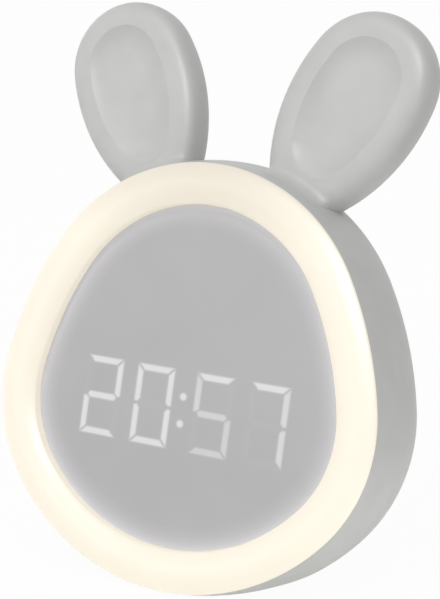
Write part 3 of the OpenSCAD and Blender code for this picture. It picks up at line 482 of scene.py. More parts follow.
def onEar(side):  # from an ear's own frame to the face's, for the left or right ear
    turn = Matrix.Translation((earSizes["x"], earSizes["y"], -earSizes["depth"])) @ Matrix.Rotation(
        math.radians(-earSizes["lean"]), 4, "Z")
    return (Matrix.Scale(-1, 4, (1, 0, 0)) if side < 0 else Matrix.Identity(4)) @ turn


def earLoops():  # inset and height of each loop, from the dish's floor round to the back
    depth, slope, border = earSizes["dishDepth"], earSizes["dishSlope"], earSizes["border"]
    slopeRadius = (slope ** 2 + depth ** 2) / (2 * depth)
    loops = []
    for i in range(earSizes["dishLoops"] + 1):
        part = slope * i / earSizes["dishLoops"]
        rise = slopeRadius - math.sqrt(slopeRadius ** 2 - part ** 2)
        loops.append((border + slope - part, earHalf - depth + rise))
    lip, crest = earSizes["lipWidth"], earHalf + earSizes["lipHeight"]
    loops += [(border - lip * 0.3, crest), (border - lip * 0.8, crest),
              (border - lip * 1.1, earHalf)]
    power = 2 / earSizes["fullness"]
    for i in range(earSizes["roundLoops"] + 1):
        turn = math.radians(90 - 180 * i / earSizes["roundLoops"])
        out = math.cos(turn) ** power if i % earSizes["roundLoops"] else 0
        up = abs(math.sin(turn)) ** power
        loops.append((earHalf * (1 - out), math.copysign(earHalf * up, turn)))
    return loops


def earRows():  # the same loops, with close ones on the flat border, where the foot is softened
    rows = []
    for inset, height in earLoops():
        outside = inset < earSizes["border"] - earSizes["lipWidth"]
        if rows and outside and rows[-1][0] > earHalf + 0.3:
            for i in range(1, earSizes["borderRows"]):
                part = i / earSizes["borderRows"]
                rows.append((rows[-1][0] + (inset - rows[-1][0]) * part, height))
        rows.append((inset, height))
    return rows


def earFoot(inset):  # how far down each loop reaches: the border to the root, the dish less far
    border = earSizes["border"]
    if inset <= earHalf:
        return -earSizes["root"] + inset
    if inset >= border:
        return -earSizes["reach"] + inset - border
    part = (inset - earHalf) / (border - earHalf)
    return -earSizes["root"] + earHalf + part * (earSizes["root"] - earHalf - earSizes["reach"])


def standOff(point, shell):  # how far a point stands out of the case's side
    nearest, normal = shell.find_nearest(point)[:2]
    return (point - nearest).dot(normal) + earSizes["footSink"]


def softenFoot(bm, dish, shell):  # a round fillet on the front that runs out at the narrow sides
    low = {v for v in bm.verts
           if v not in dish and -1.5 < standOff(v.co, shell) < earSizes["footHeight"] + 0.5}
    bmesh.ops.subdivide_edges(bm, edges=[e for e in bm.edges if set(e.verts) <= low], cuts=3,
                              use_grid_fill=True)
    bm.normal_update()
    moves = []
    for v in bm.verts:
        away = standOff(v.co, shell)
        share = eased((v.normal.z - earSizes["footStart"]) / earSizes["footRamp"])
        high, far = earSizes["footHeight"] * share, earSizes["footReach"] * share
        if high > 0.01 and away < high:
            turn = math.radians(90) * max(0, away) / high
            height = high * (1 - math.cos(turn)) + min(0, away) - earSizes["footSink"]
            moves.append((v, height, far * (1 - math.sin(turn))))
    for v, height, forward in moves:
        v.co.z += forward
        nearest, normal = shell.find_nearest(v.co)[:2]
        v.co = nearest + normal * height


def shapedEar(side, shell):
    bm = bmesh.new()
    loops = [arcLoop(bm, earArcs(-inset, earFoot(inset)), height) for inset, height in earRows()]
    solid(bm, loops)
    bmesh.ops.recalc_face_normals(bm, faces=bm.faces)
    bmesh.ops.transform(bm, matrix=onEar(side), verts=bm.verts)
    if side < 0:
        bmesh.ops.recalc_face_normals(bm, faces=bm.faces)
    dish = {v for loop in loops[:earSizes["dishLoops"] + 4] for e in loop for v in e.verts}
    softenFoot(bm, dish, shell)
    return asTool(bm)


def earPocket(side):  # the plug's seat in the ear's back, the hollow behind it and two peg holes
    bm = bmesh.new()
    border, step, reach = earSizes["border"], earSizes["plugStep"], earSizes["reach"]
    top = earHalf - earSizes["dishDepth"] - earSizes["frontWall"]
    seat = -earHalf + earSizes["plugThickness"]
    outer, inner = earArcs(-border, -reach), earArcs(-border - step, -reach + step)
    loops = [arcLoop(bm, outer, -earHalf - 1), arcLoop(bm, outer, seat), arcLoop(bm, inner, seat),
             arcLoop(bm, inner, top)]
    solid(bm, loops)
    pocket = asTool(bm)
    boss, past = earSizes["pegBoss"], 20
    bosses = turnedTool([(0, seat), (boss, seat), (boss, past), (0, past)], earSizes["pegs"])
    carve(pocket, bosses, "DIFFERENCE")
    hole, mouth = earSizes["pegRadius"] + caseSizes["fitGap"], seat - 0.5
    end = seat + earSizes["pegLength"] + caseSizes["fitGap"]
    holes = turnedTool([(0, mouth), (hole, mouth), (hole, end), (0, end)], earSizes["pegs"])
    carve(pocket, holes, "UNION")
    pocket.data.transform(onEar(side))
    if side < 0:
        pocket.data.flip_normals()
    return pocket


def makeEarBack(side, node):
    bm = bmesh.new()
    border, gap, edge = earSizes["border"], caseSizes["fitGap"], earSizes["plugEdge"]
    rows = [(edge, -earHalf), (edge * 0.3, -earHalf + edge * 0.3), (0, -earHalf + edge),
            (0, -earHalf + earSizes["plugThickness"])]
    loops = [arcLoop(bm, earArcs(-border - gap - more, -earSizes["reach"] + gap + more), height)
             for more, height in rows]
    solid(bm, loops)
    plug = asTool(bm)
    radius, tip = earSizes["pegRadius"], earSizes["pegTip"]
    start = -earHalf + earSizes["plugThickness"] - tip
    end = start + earSizes["pegLength"]
    carve(plug, turnedTool([(0, start), (radius, start), (radius, end), (radius - tip, end + tip),
                            (0, end + tip)], earSizes["pegs"]), "UNION")
    plug.data.transform(onEar(side))
    if side < 0:
        plug.data.flip_normals()
    settle(plug, node + "Shell", "case_plastic", [node])


def makeFrontHousing():
    bm = bmesh.new()
    rim, split, seam = -caseSizes["rimHeight"], caseSizes["splitDepth"], caseSizes["seam"]
    steps = caseSizes["frontLoops"]
    depths = [rim + (split - rim) * i / steps for i in range(1, steps)]
    rows = [(rim, seam), (rim + seam * 0.3, seam * 0.3), (rim + seam, 0)]
    rows += [(depth, 0) for depth in depths]
    rows += [(split - seam, 0), (split, seam)]
    loops = [caseLoop(bm, depth, 0, less) for depth, less in rows]
    solid(bm, loops)
    bmesh.ops.recalc_face_normals(bm, faces=bm.faces)
    shell = BVHTree.FromBMesh(bm)
    housing = asTool(bm)
    for side in (-1, 1):
        carve(housing, shapedEar(side, shell), "UNION")
    inside = [rim - 1] + [rim + (split - rim) * i / 8 for i in range(9)] + [split + 1]
    carve(housing, cavity(inside), "DIFFERENCE")
    for side in (-1, 1):
        carve(housing, earPocket(side), "DIFFERENCE")
    carve(housing, padRecess(), "DIFFERENCE")
    settle(housing, "frontHousingShell", "case_plastic", ["front_housing"])


makeFrontHousing()
makeEarBack(-1, "ear_back_left")
makeEarBack(1, "ear_back_right")


# the rear cover, and the openings in it
coverSizes = {
    "postDepth": 14.4, "screwX": (21, 23), "screwY": (35, -26.95), "bossRadius": 4.2,
    "shaft": 1.45, "headRoom": 2.7, "seatDepth": 20,
    "standoffs": ((-27, 9), (27, 9), (-25, -11), (25, -11)), "standoffRadius": 2.6,
    "boardGap": 7.4, "pilot": 1.075, "collarRadius": 14.15, "collarWall": 1.2, "collarHeight": 3.6,
    "tongueDepth": 2.5, "tongueWall": 1.2, "speakerDrop": 4, "soundHole": 0.8, "soundPitch": 3.6,
    "buttonRow": 20, "buttonPitch": 12, "buttonHole": 4.6, "socketX": 9.3, "socketDrop": 22.9,
    "usbSlot": (9.6, 3.9), "gripSlot": (6.7, 3.0), "resetHole": 0.8,
    "usbCorner": 0.499, "gripCorner": 0.08,  # as shares of a slot's height
    "edge": 0.3, "past": 0.5,  # chamfer on every opening, and how far its cutter reaches past it
    "tongueTop": 0.2, "tongueRound": 0.25,
}
backInside = caseSizes["depth"] - caseSizes["wall"]
boardBack = backInside - coverSizes["boardGap"]  # the rear board's outer face
coverScrewPlaces = [(side * x, y) for x, y in zip(coverSizes["screwX"], coverSizes["screwY"])
                    for side in (-1, 1)]
buttonPlaces = [((i - 1.5) * coverSizes["buttonPitch"], coverSizes["buttonRow"]) for i in range(4)]


def roundHoles(bm):  # buttons, reset hole and the speaker's rings of sound holes
    back, edge, past = -caseSizes["depth"], coverSizes["edge"], coverSizes["past"]
    inside = -backInside + 1
    speakerY = -coverSizes["speakerDrop"]
    holes = [(place, coverSizes["buttonHole"], 48) for place in buttonPlaces]
    holes.append(((0, -coverSizes["socketDrop"]), coverSizes["resetHole"], 20))
    holes.append(((0, speakerY), coverSizes["soundHole"], 20))
    for ring in (1, 2):
        for i in range(6 * ring):
            spoke = ring * coverSizes["soundPitch"] * unit(i * 60 / ring)
            holes.append(((spoke.x, spoke.y + speakerY), coverSizes["soundHole"], 20))
    for place, radius, steps in holes:
        turned(bm, [(0, back - past), (radius + edge + past, back - past), (radius, back + edge),
                    (radius, inside), (0, inside)], place, steps)


def screwHoles(bm):  # counterbores for the cover screws, and pilots in the board's standoffs
    back, edge, past = -caseSizes["depth"], coverSizes["edge"], coverSizes["past"]
    head, shaft, seat = coverSizes["headRoom"], coverSizes["shaft"], -coverSizes["seatDepth"]
    end = -coverSizes["postDepth"] + 1
    for place in coverScrewPlaces:
        turned(bm, [(0, back - past), (head + edge + past, back - past), (head, back + edge),
                    (head, seat), (shaft, seat), (shaft, end), (0, end)], place, 40)
    pilot, top = coverSizes["pilot"], -backInside + coverSizes["boardGap"]
    for place in coverSizes["standoffs"]:
        turned(bm, [(0, -backInside + 1), (pilot, -backInside + 1), (pilot, top + 1), (0, top + 1)],
               place, 16)


def flaredSlot(bm, size, middle, corner):  # a rounded slot whose mouth widens towards the back
    back, edge, past = -caseSizes["depth"], coverSizes["edge"], coverSizes["past"]
    width, height = size
    slot = roundedBox(bm, (width, height, 5), middle + Vector((0, 0, back + 1.5)),
                      height * corner, 10)
    lowest = min(v.co.z for v in slot)
    outer = [f for f in {f for v in slot for f in v.link_faces}
             if all(v.co.z < lowest + 0.01 for v in f.verts)]
    flare = bmesh.ops.extrude_face_region(bm, geom=outer)["geom"]
    bmesh.ops.delete(bm, geom=[f for f in outer if f.is_valid], context="FACES_ONLY")
    rim = [g for g in flare if isinstance(g, bmesh.types.BMVert)]
    for v in slot:  # the box ends just inside the back, the flare just outside it
        if v.co.z < lowest + 0.01 and v not in rim:
            v.co.z = back + edge
    bmesh.ops.translate(bm, vec=(0, 0, back - past - rim[0].co.z), verts=rim)
    grown = 2 * (edge + past)
    bmesh.ops.scale(bm, vec=((width + grown) / width, (height + grown) / height, 1), verts=rim,
                    space=Matrix.Translation(-middle))


def openingTools():
    bm = bmesh.new()
    roundHoles(bm)
    screwHoles(bm)
    socket = Vector((-coverSizes["socketX"], -coverSizes["socketDrop"], 0))
    grip = Vector((coverSizes["socketX"], -coverSizes["socketDrop"], 0))
    flaredSlot(bm, coverSizes["usbSlot"], socket, coverSizes["usbCorner"])
    flaredSlot(bm, coverSizes["gripSlot"], grip, coverSizes["gripCorner"])
    return asTool(bm)


def backDepths(start, inset, steps):  # at even turns, from a depth to the back's flat middle
    rise = backRise - inset
    first = math.asin((start - caseSizes["swellDepth"]) / rise)
    return [caseSizes["swellDepth"] + rise * math.sin(first + (math.pi / 2 - first) * i / steps)
            for i in range(steps + 1)]


def backForm(inset, start):  # the back's rounded solid, from a depth to its flat middle
    bm = bmesh.new()
    loops = [arcLoop(bm, caseArcs(growAt(depth, inset)), -depth)
             for depth in backDepths(start, inset, 12)]
    solid(bm, loops)
    return asTool(bm)


def screwBosses():
    back, boss = -caseSizes["depth"], coverSizes["bossRadius"]
    top = -coverSizes["postDepth"] - caseSizes["fitGap"]
    bosses = turnedTool([(0, back), (boss, back), (boss, top), (0, top)], coverScrewPlaces)
    carve(bosses, backForm(caseSizes["wall"] / 2, 1), "INTERSECT")
    return bosses


def coverInside():  # tongue, speaker collar and board standoffs
    bm = bmesh.new()
    split, reach = caseSizes["splitDepth"], coverSizes["tongueDepth"]
    grow = growAt(split, caseSizes["wall"]) - caseSizes["fitGap"]
    thick, rounding = coverSizes["tongueWall"], coverSizes["tongueRound"]
    rows = [(grow - coverSizes["tongueTop"], reach), (grow, reach - rounding), (grow, -reach),
            (grow - thick, -reach), (grow - thick, reach)]
    skin(bm, [arcLoop(bm, caseArcs(wide), -split + up) for wide, up in rows], closed=True)
    bmesh.ops.recalc_face_normals(bm, faces=bm.faces)
    bmesh.ops.holes_fill(bm, edges=sliceOff(bm, upFace * insideLevel, -upFace))
    inner = -backInside - caseSizes["wall"] / 2
    radius, wide = coverSizes["collarRadius"], coverSizes["collarWall"]
    top, lead = -backInside + coverSizes["collarHeight"], 0.3
    turned(bm, [(radius, inner), (radius + wide, inner), (radius + wide, top),
                (radius + lead, top), (radius, top - lead), (radius, inner)],
           (0, -coverSizes["speakerDrop"]), 64)
    post, top = coverSizes["standoffRadius"], -backInside + coverSizes["boardGap"]
    for place in coverSizes["standoffs"]:
        turned(bm, [(0, inner), (post, inner), (post, top), (0, top)], place, 24)
    return asTool(bm)


def makeRearCover():
    bm = bmesh.new()
    split, seam = caseSizes["splitDepth"], caseSizes["seam"]
    rows = [(split, seam), (split + seam, 0)]
    rows += [(depth, 0) for depth in backDepths(split, 0, caseSizes["backLoops"])[1:]]
    loops = [caseLoop(bm, depth, 0, less) for depth, less in rows]
    solid(bm, loops)
    cover = asTool(bm)
    inside = backDepths(split - 1, caseSizes["wall"], 10)
    carve(cover, cavity(inside), "DIFFERENCE")
    carve(cover, coverInside(), "UNION", overlapping=True)
    carve(cover, screwBosses(), "UNION")
    carve(cover, openingTools(), "DIFFERENCE")
    carve(cover, padRecess(), "DIFFERENCE")
    settle(cover, "rearCoverShell", "case_plastic", ["rear_cover"])


makeRearCover()

# the opal strip of the night light
ringSetup = {
    "width": 10.4, "crown": 2.6, "edge": 0.7, "wall": 1.5, "depth": 5.9, "skirtInset": 2.7,
    "innerDrop": 0.5, "round": 0.3, "crownLoops": 22,
    # the upper tone is darker than the lower one: painted shade at the top, where less light from
    # inside reaches
    "shadedTopTone": "#c3bcb0", "lowTone": "#c8c2b6", "glow": "#fff7e4",
    "highGlow": 0.3, "lowGlow": 0.44, "fadeFrom": 0.084, "fadeTo": 0.108,  # heights in metres
    "mottle": 16.7, "grain": 0.385,  # in millimetres
}


def opalLight():
    # moulded opal polycarbonate, lit from inside: an even cream glow, a little duller at the top,
    # where its base colour is also darkened as painted shade
    material, shader = newMaterial("ringOpalPolycarbonateLit", IOR=1.58, Roughness=0.42,
                                   Emission_Color=hexColour(ringSetup["glow"]))
    place = addNode(material, "TexCoord").outputs["Object"]
    height = addNode(material, "SeparateXYZ", Vector=place).outputs["Z"]
    mottle = noise(material, place, ringSetup["mottle"], 2.0)
    grain = noise(material, place, ringSetup["grain"], 3.0)
    near = addNode(material, "MapRange", {"interpolation_type": "SMOOTHSTEP"}, _0=height,
                   _1=ringSetup["fadeFrom"], _2=ringSetup["fadeTo"], _3=1.0, _4=0.0)
    low = near.outputs["Result"]
    glow = ranged(material, low, ringSetup["highGlow"], ringSetup["lowGlow"], 0.0, 1.0)
    high, deep = hexColour(ringSetup["shadedTopTone"]), hexColour(ringSetup["lowTone"])
    # the base colour darkens towards the top as painted shade, while the glow dims
    fillInputs(material, shader, {
        "Base Color": blend(material, low, high, deep),
        "Emission Strength": times(material, glow, ranged(material, mottle, 0.97, 1.0)),
        "Normal": bumped(material, grain, 0.15, 0.01)})
    return material


def makeLightRing():
    bm = bmesh.new()
    base, width, edge = caseSizes["rimHeight"], ringSetup["width"], ringSetup["edge"]
    inner = base + edge - ringSetup["innerDrop"]
    soft, wall, deep = ringSetup["round"], ringSetup["wall"], -ringSetup["depth"]
    under, skirt = base + ringSetup["crown"] - wall, -ringSetup["skirtInset"]
    rows = [(-soft * 0.5, base), (0, base + soft * 0.5), (0, base + edge - soft),
            (-soft * 0.2, base + edge - soft * 0.25)]
    for i in range(1, ringSetup["crownLoops"]):  # the crown falls further towards the panel
        part = i / ringSetup["crownLoops"]
        rise = (ringSetup["crown"] - edge) * math.sin(math.pi * part)
        fall = edge if part < 0.5 else edge - ringSetup["innerDrop"] * (2 * part - 1) ** 6
        rows.append((-width * part, base + fall + rise))
    rows += [
        (-width + soft * 0.2, inner + soft * 0.2), (-width, inner - soft * 0.4), (-width, deep),
        (-width + wall, deep), (-width + wall, base - edge), (-width * 0.7, under - 0.6),
        (-width / 2, under), (-width * 0.4, under - 0.3),
        (skirt - wall, base - edge), (skirt - wall, deep), (skirt, deep), (skirt, base),
    ]
    skin(bm, [arcLoop(bm, caseArcs(grow), height) for grow, height in rows], closed=True)
    ring = asTool(bm)
    bm = bmesh.new()
    bmesh.ops.create_cube(bm, size=400)
    cap(bm, sliceOff(bm, (0, 0, base), (0, 0, 1)))
    cap(bm, sliceOff(bm, upFace * insideLevel, upFace))
    carve(ring, asTool(bm), "DIFFERENCE")
    finishes["ring_diffuser"] = opalLight()
    settle(ring, "lightRingShell", "ring_diffuser", ["light_ring"], sharp=40)


makeLightRing()

# the tinted panel, with the time shining through it
panelSetup = {
    "thickness": 1.6,
    "edges": (0, 0.4, 0.8, 1.3, 1.9, 2.6, 3.4, 4.4, 6), "paintedRingLightWidth": 3,  # painted light from the ring, fading in from the rim
    "cell": 0.26, "gridWidth": 60.32, "gridHeight": 21.84,  # fine mesh behind the digits
    # edge is the lighter tone of the painted light from the ring along the rim
    "dark": "#b3b2b4", "light": "#b7b6b8", "edge": "#d6d6dc", "bars": "#dcdbdd",
    "glow": "#f2f1f4", "glowPower": 0.06, "roughness": (0.4, 0.5),
    "mottle": 22.2, "grain": 0.5,  # in millimetres
}
digitSizes = {
    "height": 20.3, "width": 10.8, "bar": 1.62, "gap": 0.36, "pitch": 15.2, "colonPitch": 17.3,
    "drop": 2.7, "dot": 1.9, "dotSpacing": 6.9, "soft": 0.7, "ghost": 0.035,
}
shownTime = (  # brightness of the bars a to g of each digit
    (1.0, 1.0, 0.0, 1.0, 1.0, 0.0, 1.0), (1.0, 1.0, 1.0, 1.0, 1.0, 1.0, 0.0),
    (1.0, 0.0, 0.62, 0.6, 0.0, 0.7, 0.66), (1.0, 0.78, 0.78, 0.0, 0.0, 0.0, 0.0),
)


def flipped(shape, across, up):
    return [(x * across, y * up) for x, y in shape]


def barShapes():  # straight-edged outlines of a digit's seven bars, about its middle
    half = digitSizes["bar"] / 2
    wide, tall = digitSizes["width"] / 2, digitSizes["height"] / 2
    gap = digitSizes["gap"]
    top = [(-wide + gap, tall), (wide - gap, tall), (wide - gap - 2 * half, tall - 2 * half),
           (-wide + gap + 2 * half, tall - 2 * half)]
    right = [(wide, tall - gap), (wide, gap + half * 0.2), (wide - half, gap),
             (wide - 2 * half, gap + half), (wide - 2 * half, tall - gap - 2 * half)]
    dash = [(-wide + 2 * half + gap * 0.3, half), (wide - 2 * half - gap * 0.3, half),
            (wide - half - gap, 0), (wide - 2 * half - gap * 0.3, -half),
            (-wide + 2 * half + gap * 0.3, -half), (-wide + half + gap, 0)]
    return [top, right, flipped(right, 1, -1), flipped(top, 1, -1), flipped(right, -1, -1),
            flipped(right, -1, 1), dash]


def insideBy(shape, x, y):  # how far a point lies inside a straight-edged outline, below 0 outside
    area = sum(a[0] * b[1] - b[0] * a[1] for a, b in zip(shape, shape[1:] + shape[:1]))
    turn = 1 if area > 0 else -1
    least = math.inf
    for (ax, ay), (bx, by) in zip(shape, shape[1:] + shape[:1]):
        length = math.hypot(bx - ax, by - ay)
        least = min(least, turn * ((bx - ax) * (y - ay) - (by - ay) * (x - ax)) / length)
    return least


digitMiddles = [side * (digitSizes["colonPitch"] / 2 + far * digitSizes["pitch"])
                for side, far in ((-1, 1), (-1, 0), (1, 0), (1, 1))]


def glowAt(x, y, shapes):  # brightness of the time at a point, with the panel's slight blur
    y += digitSizes["drop"]
    best, soft = 0.0, digitSizes["soft"]
    for middle, bright in zip(digitMiddles, shownTime):
        if abs(x - middle) > digitSizes["width"] / 2 + 1:
            continue
        for shape, level in zip(shapes, bright):
            inside = insideBy(shape, x - middle, y)
            share = eased((inside + soft * 0.5) / soft)
            best = max(best, (level or digitSizes["ghost"]) * share)
    if abs(x) < 2:
        for side in (-1, 1):
            away = digitSizes["dot"] / 2 - math.hypot(x, y - side * digitSizes["dotSpacing"] / 2)
            best = max(best, eased((away + soft * 0.5) / soft))
    return best


def tintedPanel():
    # smoked acrylic over a diffusing film: an even satin grey that the lit bars shine through, its
    # rim lightened with painted light from the ring
    material, shader = newMaterial("panelAcrylicSmokedSatin", IOR=1.49,
                                   Emission_Color=hexColour(panelSetup["glow"]))
    place = addNode(material, "TexCoord").outputs["Object"]
    mottle = noise(material, place, panelSetup["mottle"], 2.0)
    grain = noise(material, place, panelSetup["grain"], 3.0)
    paintedRingLight = addNode(material, "Attribute", {"attribute_name": "paintedRingLight"}).outputs["Fac"]
    glow = addNode(material, "Attribute", {"attribute_name": "glow"}).outputs["Fac"]
    dark, light, edge, bars = [hexColour(panelSetup[tone])
                               for tone in ("dark", "light", "edge", "bars")]
    base = blend(material, ranged(material, mottle), dark, light)
    fillInputs(material, shader, {
        # the base colour is blended towards edge near the rim as painted light from the ring, with
        # the lit bars over it
        "Base Color": blend(material, glow, blend(material, paintedRingLight, base, edge), bars),
        "Roughness": ranged(material, grain, *panelSetup["roughness"]),
        "Emission Strength": times(material, glow, panelSetup["glowPower"]),
        "Normal": bumped(material, grain, 0.12, 0.01)})
    return material


def makeDisplayPanel():
    bm = bmesh.new()
    paintedRingLightLayer = bm.verts.layers.float.new("paintedRingLight")
    glowLayer = bm.verts.layers.float.new("glow")
    outer = -ringSetup["width"] - caseSizes["fitGap"]
    back = [arcLoop(bm, caseArcs(outer), -panelSetup["thickness"])]
    front = [arcLoop(bm, caseArcs(outer - inset), 0) for inset in panelSetup["edges"]]
    skin(bm, back + front)
    cap(bm, back[0])
    # the painted ring light: strongest at the rim, gone by the last edge loop
    least = math.exp(-panelSetup["edges"][-1] / panelSetup["paintedRingLightWidth"])
    for loop, inset in zip(front, panelSetup["edges"]):
        for v in {v for e in loop for v in e.verts}:
            v[paintedRingLightLayer] = (math.exp(-inset / panelSetup["paintedRingLightWidth"]) - least) / (1 - least)
    columns = round(panelSetup["gridWidth"] / panelSetup["cell"])
    rows = round(panelSetup["gridHeight"] / panelSetup["cell"])
    grid = bmesh.ops.create_grid(bm, x_segments=columns, y_segments=rows, size=0.5)["verts"]
    bmesh.ops.scale(bm, vec=(panelSetup["gridWidth"], panelSetup["gridHeight"], 1), verts=grid)
    bmesh.ops.translate(bm, vec=(0, -digitSizes["drop"], 0), verts=grid)
    shapes = barShapes()
    for v in grid:
        v[glowLayer] = glowAt(v.co.x, v.co.y, shapes)
    border = [e for e in {e for v in grid for e in v.link_edges} if e.is_boundary]
    bmesh.ops.triangle_fill(bm, edges=front[-1] + border, normal=(0, 0, 1))
    finishes["tinted_panel"] = tintedPanel()
    settle(asTool(bm), "displayPanelFace", "tinted_panel", ["display_panel"], weighted=False)


makeDisplayPanel()

# the four buttons
buttonSizes = {
    "radius": 4.3, "height": 1.2, "round": 0.5, "dome": 0.18, "flangeRadius": 5.4,
    "flangeDepth": backInside - 0.3, "flangeThickness": 0.8, "stem": 1.7,
    "stemEnd": boardBack + 4.8,  # where a switch's plunger ends
    "sign": 2.6, "signWidth": 0.55, "signHeight": 0.12,  # the raised signs
}


def signTool(node, deep):  # plus, minus, a dial or a bell
    bm = bmesh.new()
    long, wide = buttonSizes["sign"], buttonSizes["signWidth"]
    strokes = {  # width, height and place of each bar
        "plus_button": [(long, wide, 0, 0), (wide, long, 0, 0)],
        "minus_button": [(long, wide, 0, 0)],
        "clock_button": [(wide * 0.8, long * 0.45, 0, long * 0.2),
                         (long * 0.4, wide * 0.8, long * 0.15, 0)],
        "alarm_button": [(long * 0.9, wide * 0.8, 0, -long * 0.42)],
    }[node]
    for width, height, x, y in strokes:
        roundedBox(bm, (width, height, 1), (-x, y, deep + 0.5), min(width, height) * 0.45, 4)
    if node == "clock_button":  # the dial's rim round its two hands
        outer, inner = long * 0.62, long * 0.62 - wide * 0.7
        turned(bm, [(inner, deep), (outer, deep), (outer, deep + 1), (inner, deep + 1),
                    (inner, deep)], (0, 0), 32)
    if node == "alarm_button":  # the bell over its rim
        bell = long * 0.3
        turned(bm, [(0, deep), (bell, deep), (bell, deep + 1), (0, deep + 1)],
               (0, long * 0.12), 24)
        roundedBox(bm, (long * 0.6, long * 0.45, 1), (0, -long * 0.15, deep + 0.5), 0.12, 3)
    return asTool(bm)


def makeButton(index, node):
    bm = bmesh.new()
    sizes = buttonSizes
    crown = -caseSizes["depth"] - sizes["height"]
    flange = -sizes["flangeDepth"]
    top = flange + sizes["flangeThickness"]
    profile = [(0, -sizes["stemEnd"]), (sizes["stem"], -sizes["stemEnd"]), (sizes["stem"], top),
               (sizes["flangeRadius"], top), (sizes["flangeRadius"], flange),
               (sizes["radius"], flange)]
    for angle in range(0, 91, 15):
        turn = math.radians(angle)
        profile.append((sizes["radius"] - sizes["round"] * (1 - math.cos(turn)),
                        crown + sizes["dome"] + sizes["round"] * (1 - math.sin(turn))))
    flat = sizes["radius"] - sizes["round"]
    for i in range(7, -1, -1):
        part = i / 8
        profile.append((flat * part, crown + sizes["dome"] * part ** 2))
    turned(bm, profile, (0, 0), 64)
    button = asTool(bm)
    carve(button, signTool(node, crown - sizes["signHeight"]), "UNION", overlapping=True)
    button.data.transform(Matrix.Translation((*buttonPlaces[index], 0)))
    settle(button, node + "Cap", "button_plastic", [node], body=node)


for index, node in enumerate(("clock_button", "alarm_button", "plus_button", "minus_button")):
    makeButton(index, node)

# the alarm switch's grip, the cover screws and the pad
gripSizes = {
    "length": 3.6, "width": 2.4, "height": 0.8, "travel": 2.5, "ridge": 0.4, "ridgePitch": 1.1,
    "plate": (11, 4.8), "stemEnd": boardBack + 3.95,
}


def makeSlideGrip():
    bm = bmesh.new()
    sizes = gripSizes
    back = -caseSizes["depth"] - sizes["height"]
    flange = -buttonSizes["flangeDepth"]
    roundedBox(bm, (sizes["length"], sizes["width"], flange + 0.2 - back),
               (0, 0, (flange + 0.2 + back) / 2), 0.3, 4, edge=0.15)
    for i in (-1, 0, 1):
        roundedBox(bm, (sizes["ridge"], sizes["width"] - 0.3, 0.8),
                   (i * sizes["ridgePitch"], 0, back - sizes["ridge"] + 0.4), 0.12, 3, edge=0.1)
    plateWidth, plateHeight = sizes["plate"]
    plateTop = buttonSizes["flangeDepth"] - buttonSizes["flangeThickness"]
    roundedBox(bm, (plateWidth, plateHeight, buttonSizes["flangeThickness"]),
               (0, 0, (flange - plateTop) / 2), 0.4, 4)
    stem = plateTop - sizes["stemEnd"]
    roundedBox(bm, (sizes["width"], sizes["width"], stem + 0.4),
               (0, 0, -sizes["stemEnd"] - (stem + 0.4) / 2), 0.2, 3)
    grip = asTool(bm)
    bm = bmesh.new()  # a speck inside it, so that the union joins its own overlapping boxes
    roundedBox(bm, (0.2, 0.2, 0.2), (0, 0, -plateTop - 0.4), 0.02, 1)
    carve(grip, asTool(bm), "UNION", overlapping=True)
    grip.data.transform(Matrix.Translation((
        coverSizes["socketX"] + sizes["travel"] / 2, -coverSizes["socketDrop"], 0)))
    settle(grip, "slideGripCap", "button_plastic", ["slide_grip"], body="slide_grip")


makeSlideGrip()

screwSizes = {
    "shaft": 1.3, "shaftStart": 9.4, "head": 2.4, "headHeight": 1.8, "seat": 20,
    "recess": 2.6, "recessWidth": 0.7, "recessDepth": 1.1,
}


def makeCoverScrews():
    sizes = screwSizes
    shaft, head, seat, start = sizes["shaft"], sizes["head"], -sizes["seat"], -sizes["shaftStart"]
    end = seat - sizes["headHeight"]
    profile = [(0, start), (shaft * 0.5, start), (shaft, start - 1.2), (shaft, seat), (head, seat),
               (head, end + 0.7), (head * 0.93, end + 0.3), (head * 0.75, end + 0.08),
               (head * 0.5, end), (0, end)]
    screws = turnedTool(profile, coverScrewPlaces, 36)
    bm = bmesh.new()
    for x, y in coverScrewPlaces:
        middle = (x, y, end + sizes["recessDepth"] - 1)
        roundedBox(bm, (sizes["recess"], sizes["recessWidth"], 2), middle, 0.1, 2)
        roundedBox(bm, (sizes["recessWidth"], sizes["recess"], 2), middle, 0.1, 2)
    carve(screws, asTool(bm), "DIFFERENCE", overlapping=True)
    settle(screws, "coverScrewSet", "steel", ["cover_screws"])


makeCoverScrews()


def makeBasePad():
    bm = bmesh.new()
    roundedBox(bm, (padSizes["width"], padSizes["length"], padSizes["thickness"]),
               (0, 0, padSizes["thickness"] / 2), padSizes["corner"], padSizes["cornerSteps"],
               edge=padSizes["edge"])
    settle(asTool(bm), "basePadMat", "silicone", ["base_pad"], matrix=millimetres)


makeBasePad()
print("pieces placed")

# floor, lamps and camera
studio = {
    "floorSize": 6, "worldStrength": 0.545, "aim": (0, 0, 0.07),
    "softboxes": {  # watts, size and place in metres, and whether it only adds sheen
        "keySoftbox": (8.2, 1.2, (-0.6, -1.7, 0.9), False),
        "topSoftbox": (3.0, 0.3, (-0.1, -0.6, 1.2), False),
        "spillSoftbox": (0.012, 0.06, (0.085, -0.035, 0.003), False),
        "sheenSoftbox": (30, 0.3, (0.9, -1.0, 1.3), True),
    },
    "cameraPlace": (0.17006, -0.30812, 0.16916), "cameraAim": (-0.45391, 0.84923, -0.26977),
    "cameraView": 23.54, "floorWhite": 0.96, "floorTone": "#f4f3f0",
}


def seenWhite(material):  # 1 where the camera, or a reflection or clear piece, sees it
    rays = addNode(material, "LightPath").outputs
    mirror = addNode(material, "Math", {"operation": "MAXIMUM"}, _0=rays["Is Camera Ray"],
                     _1=rays["Is Glossy Ray"])
    return addNode(material, "Math", {"operation": "MAXIMUM"}, _0=mirror.outputs[0],
                   _1=rays["Is Transmission Ray"]).outputs[0]


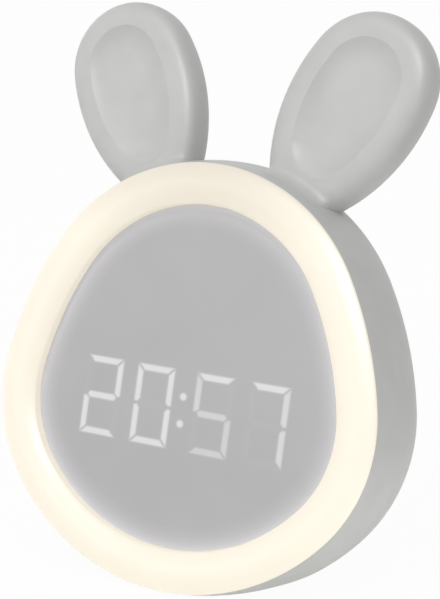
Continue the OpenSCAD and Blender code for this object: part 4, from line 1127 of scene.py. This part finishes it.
def makeFloor():
    bm = bmesh.new()
    bmesh.ops.create_grid(bm, x_segments=4, y_segments=4, size=studio["floorSize"] / 2)
    mesh = bpy.data.meshes.new("studioFloor")
    bm.to_mesh(mesh)
    bm.free()
    floor = bpy.data.objects.new("studioFloor", mesh)
    bpy.context.scene.collection.objects.link(floor)
    # matt white paper sweep: keeps a faint shadow and shows white to the camera
    material, shader = newMaterial("sweepPaperMatt", Roughness=0.9,
                                   Base_Color=hexColour(studio["floorTone"]))
    share = times(material, seenWhite(material), studio["floorWhite"])
    white = addNode(material, "Emission", Color=(1, 1, 1, 1), Strength=1.0)
    both = addNode(material, "MixShader", _0=share, _1=shader.outputs[0], _2=white.outputs[0])
    material.node_tree.links.new(
        both.outputs[0], material.node_tree.nodes["Material Output"].inputs["Surface"])
    mesh.materials.append(material)


def makeWorld():
    world = bpy.data.worlds.new("studioWorld")
    bpy.context.scene.world = world
    world.use_nodes = True
    plain = world.node_tree.nodes["Background"]
    plain.inputs["Strength"].default_value = studio["worldStrength"]
    plain.inputs["Color"].default_value = (1, 1, 1, 1)
    white = addNode(world, "Background", Color=(1, 1, 1, 1), Strength=1.0)
    both = addNode(world, "MixShader", _0=seenWhite(world), _1=plain.outputs[0],
                   _2=white.outputs[0])
    world.node_tree.links.new(
        both.outputs[0], world.node_tree.nodes["World Output"].inputs["Surface"])


def addSoftbox(name, power, size, start, glossOnly):
    lamp = bpy.data.lights.new(name, "AREA")
    lamp.energy, lamp.size = power, size
    softbox = bpy.data.objects.new(name, lamp)
    bpy.context.scene.collection.objects.link(softbox)
    softbox.location = start
    aim = Vector(studio["aim"]) - softbox.location
    softbox.rotation_euler = aim.to_track_quat("-Z", "Y").to_euler()
    softbox.visible_camera = False
    softbox.visible_diffuse = not glossOnly


def addCamera():
    camera = bpy.data.cameras.new("viewCamera")
    camera.sensor_fit = "VERTICAL"
    camera.angle_y = math.radians(studio["cameraView"])
    camera.clip_start = 0.01
    stand = bpy.data.objects.new("viewCamera", camera)
    bpy.context.scene.collection.objects.link(stand)
    stand.location = studio["cameraPlace"]
    stand.rotation_euler = Vector(studio["cameraAim"]).to_track_quat("-Z", "Y").to_euler()
    bpy.context.scene.camera = stand


makeFloor()
makeWorld()
for name, lamp in studio["softboxes"].items():
    addSoftbox(name, *lamp)
addCamera()
bpy.context.scene.view_settings.view_transform = "Standard"
print("studio lit")
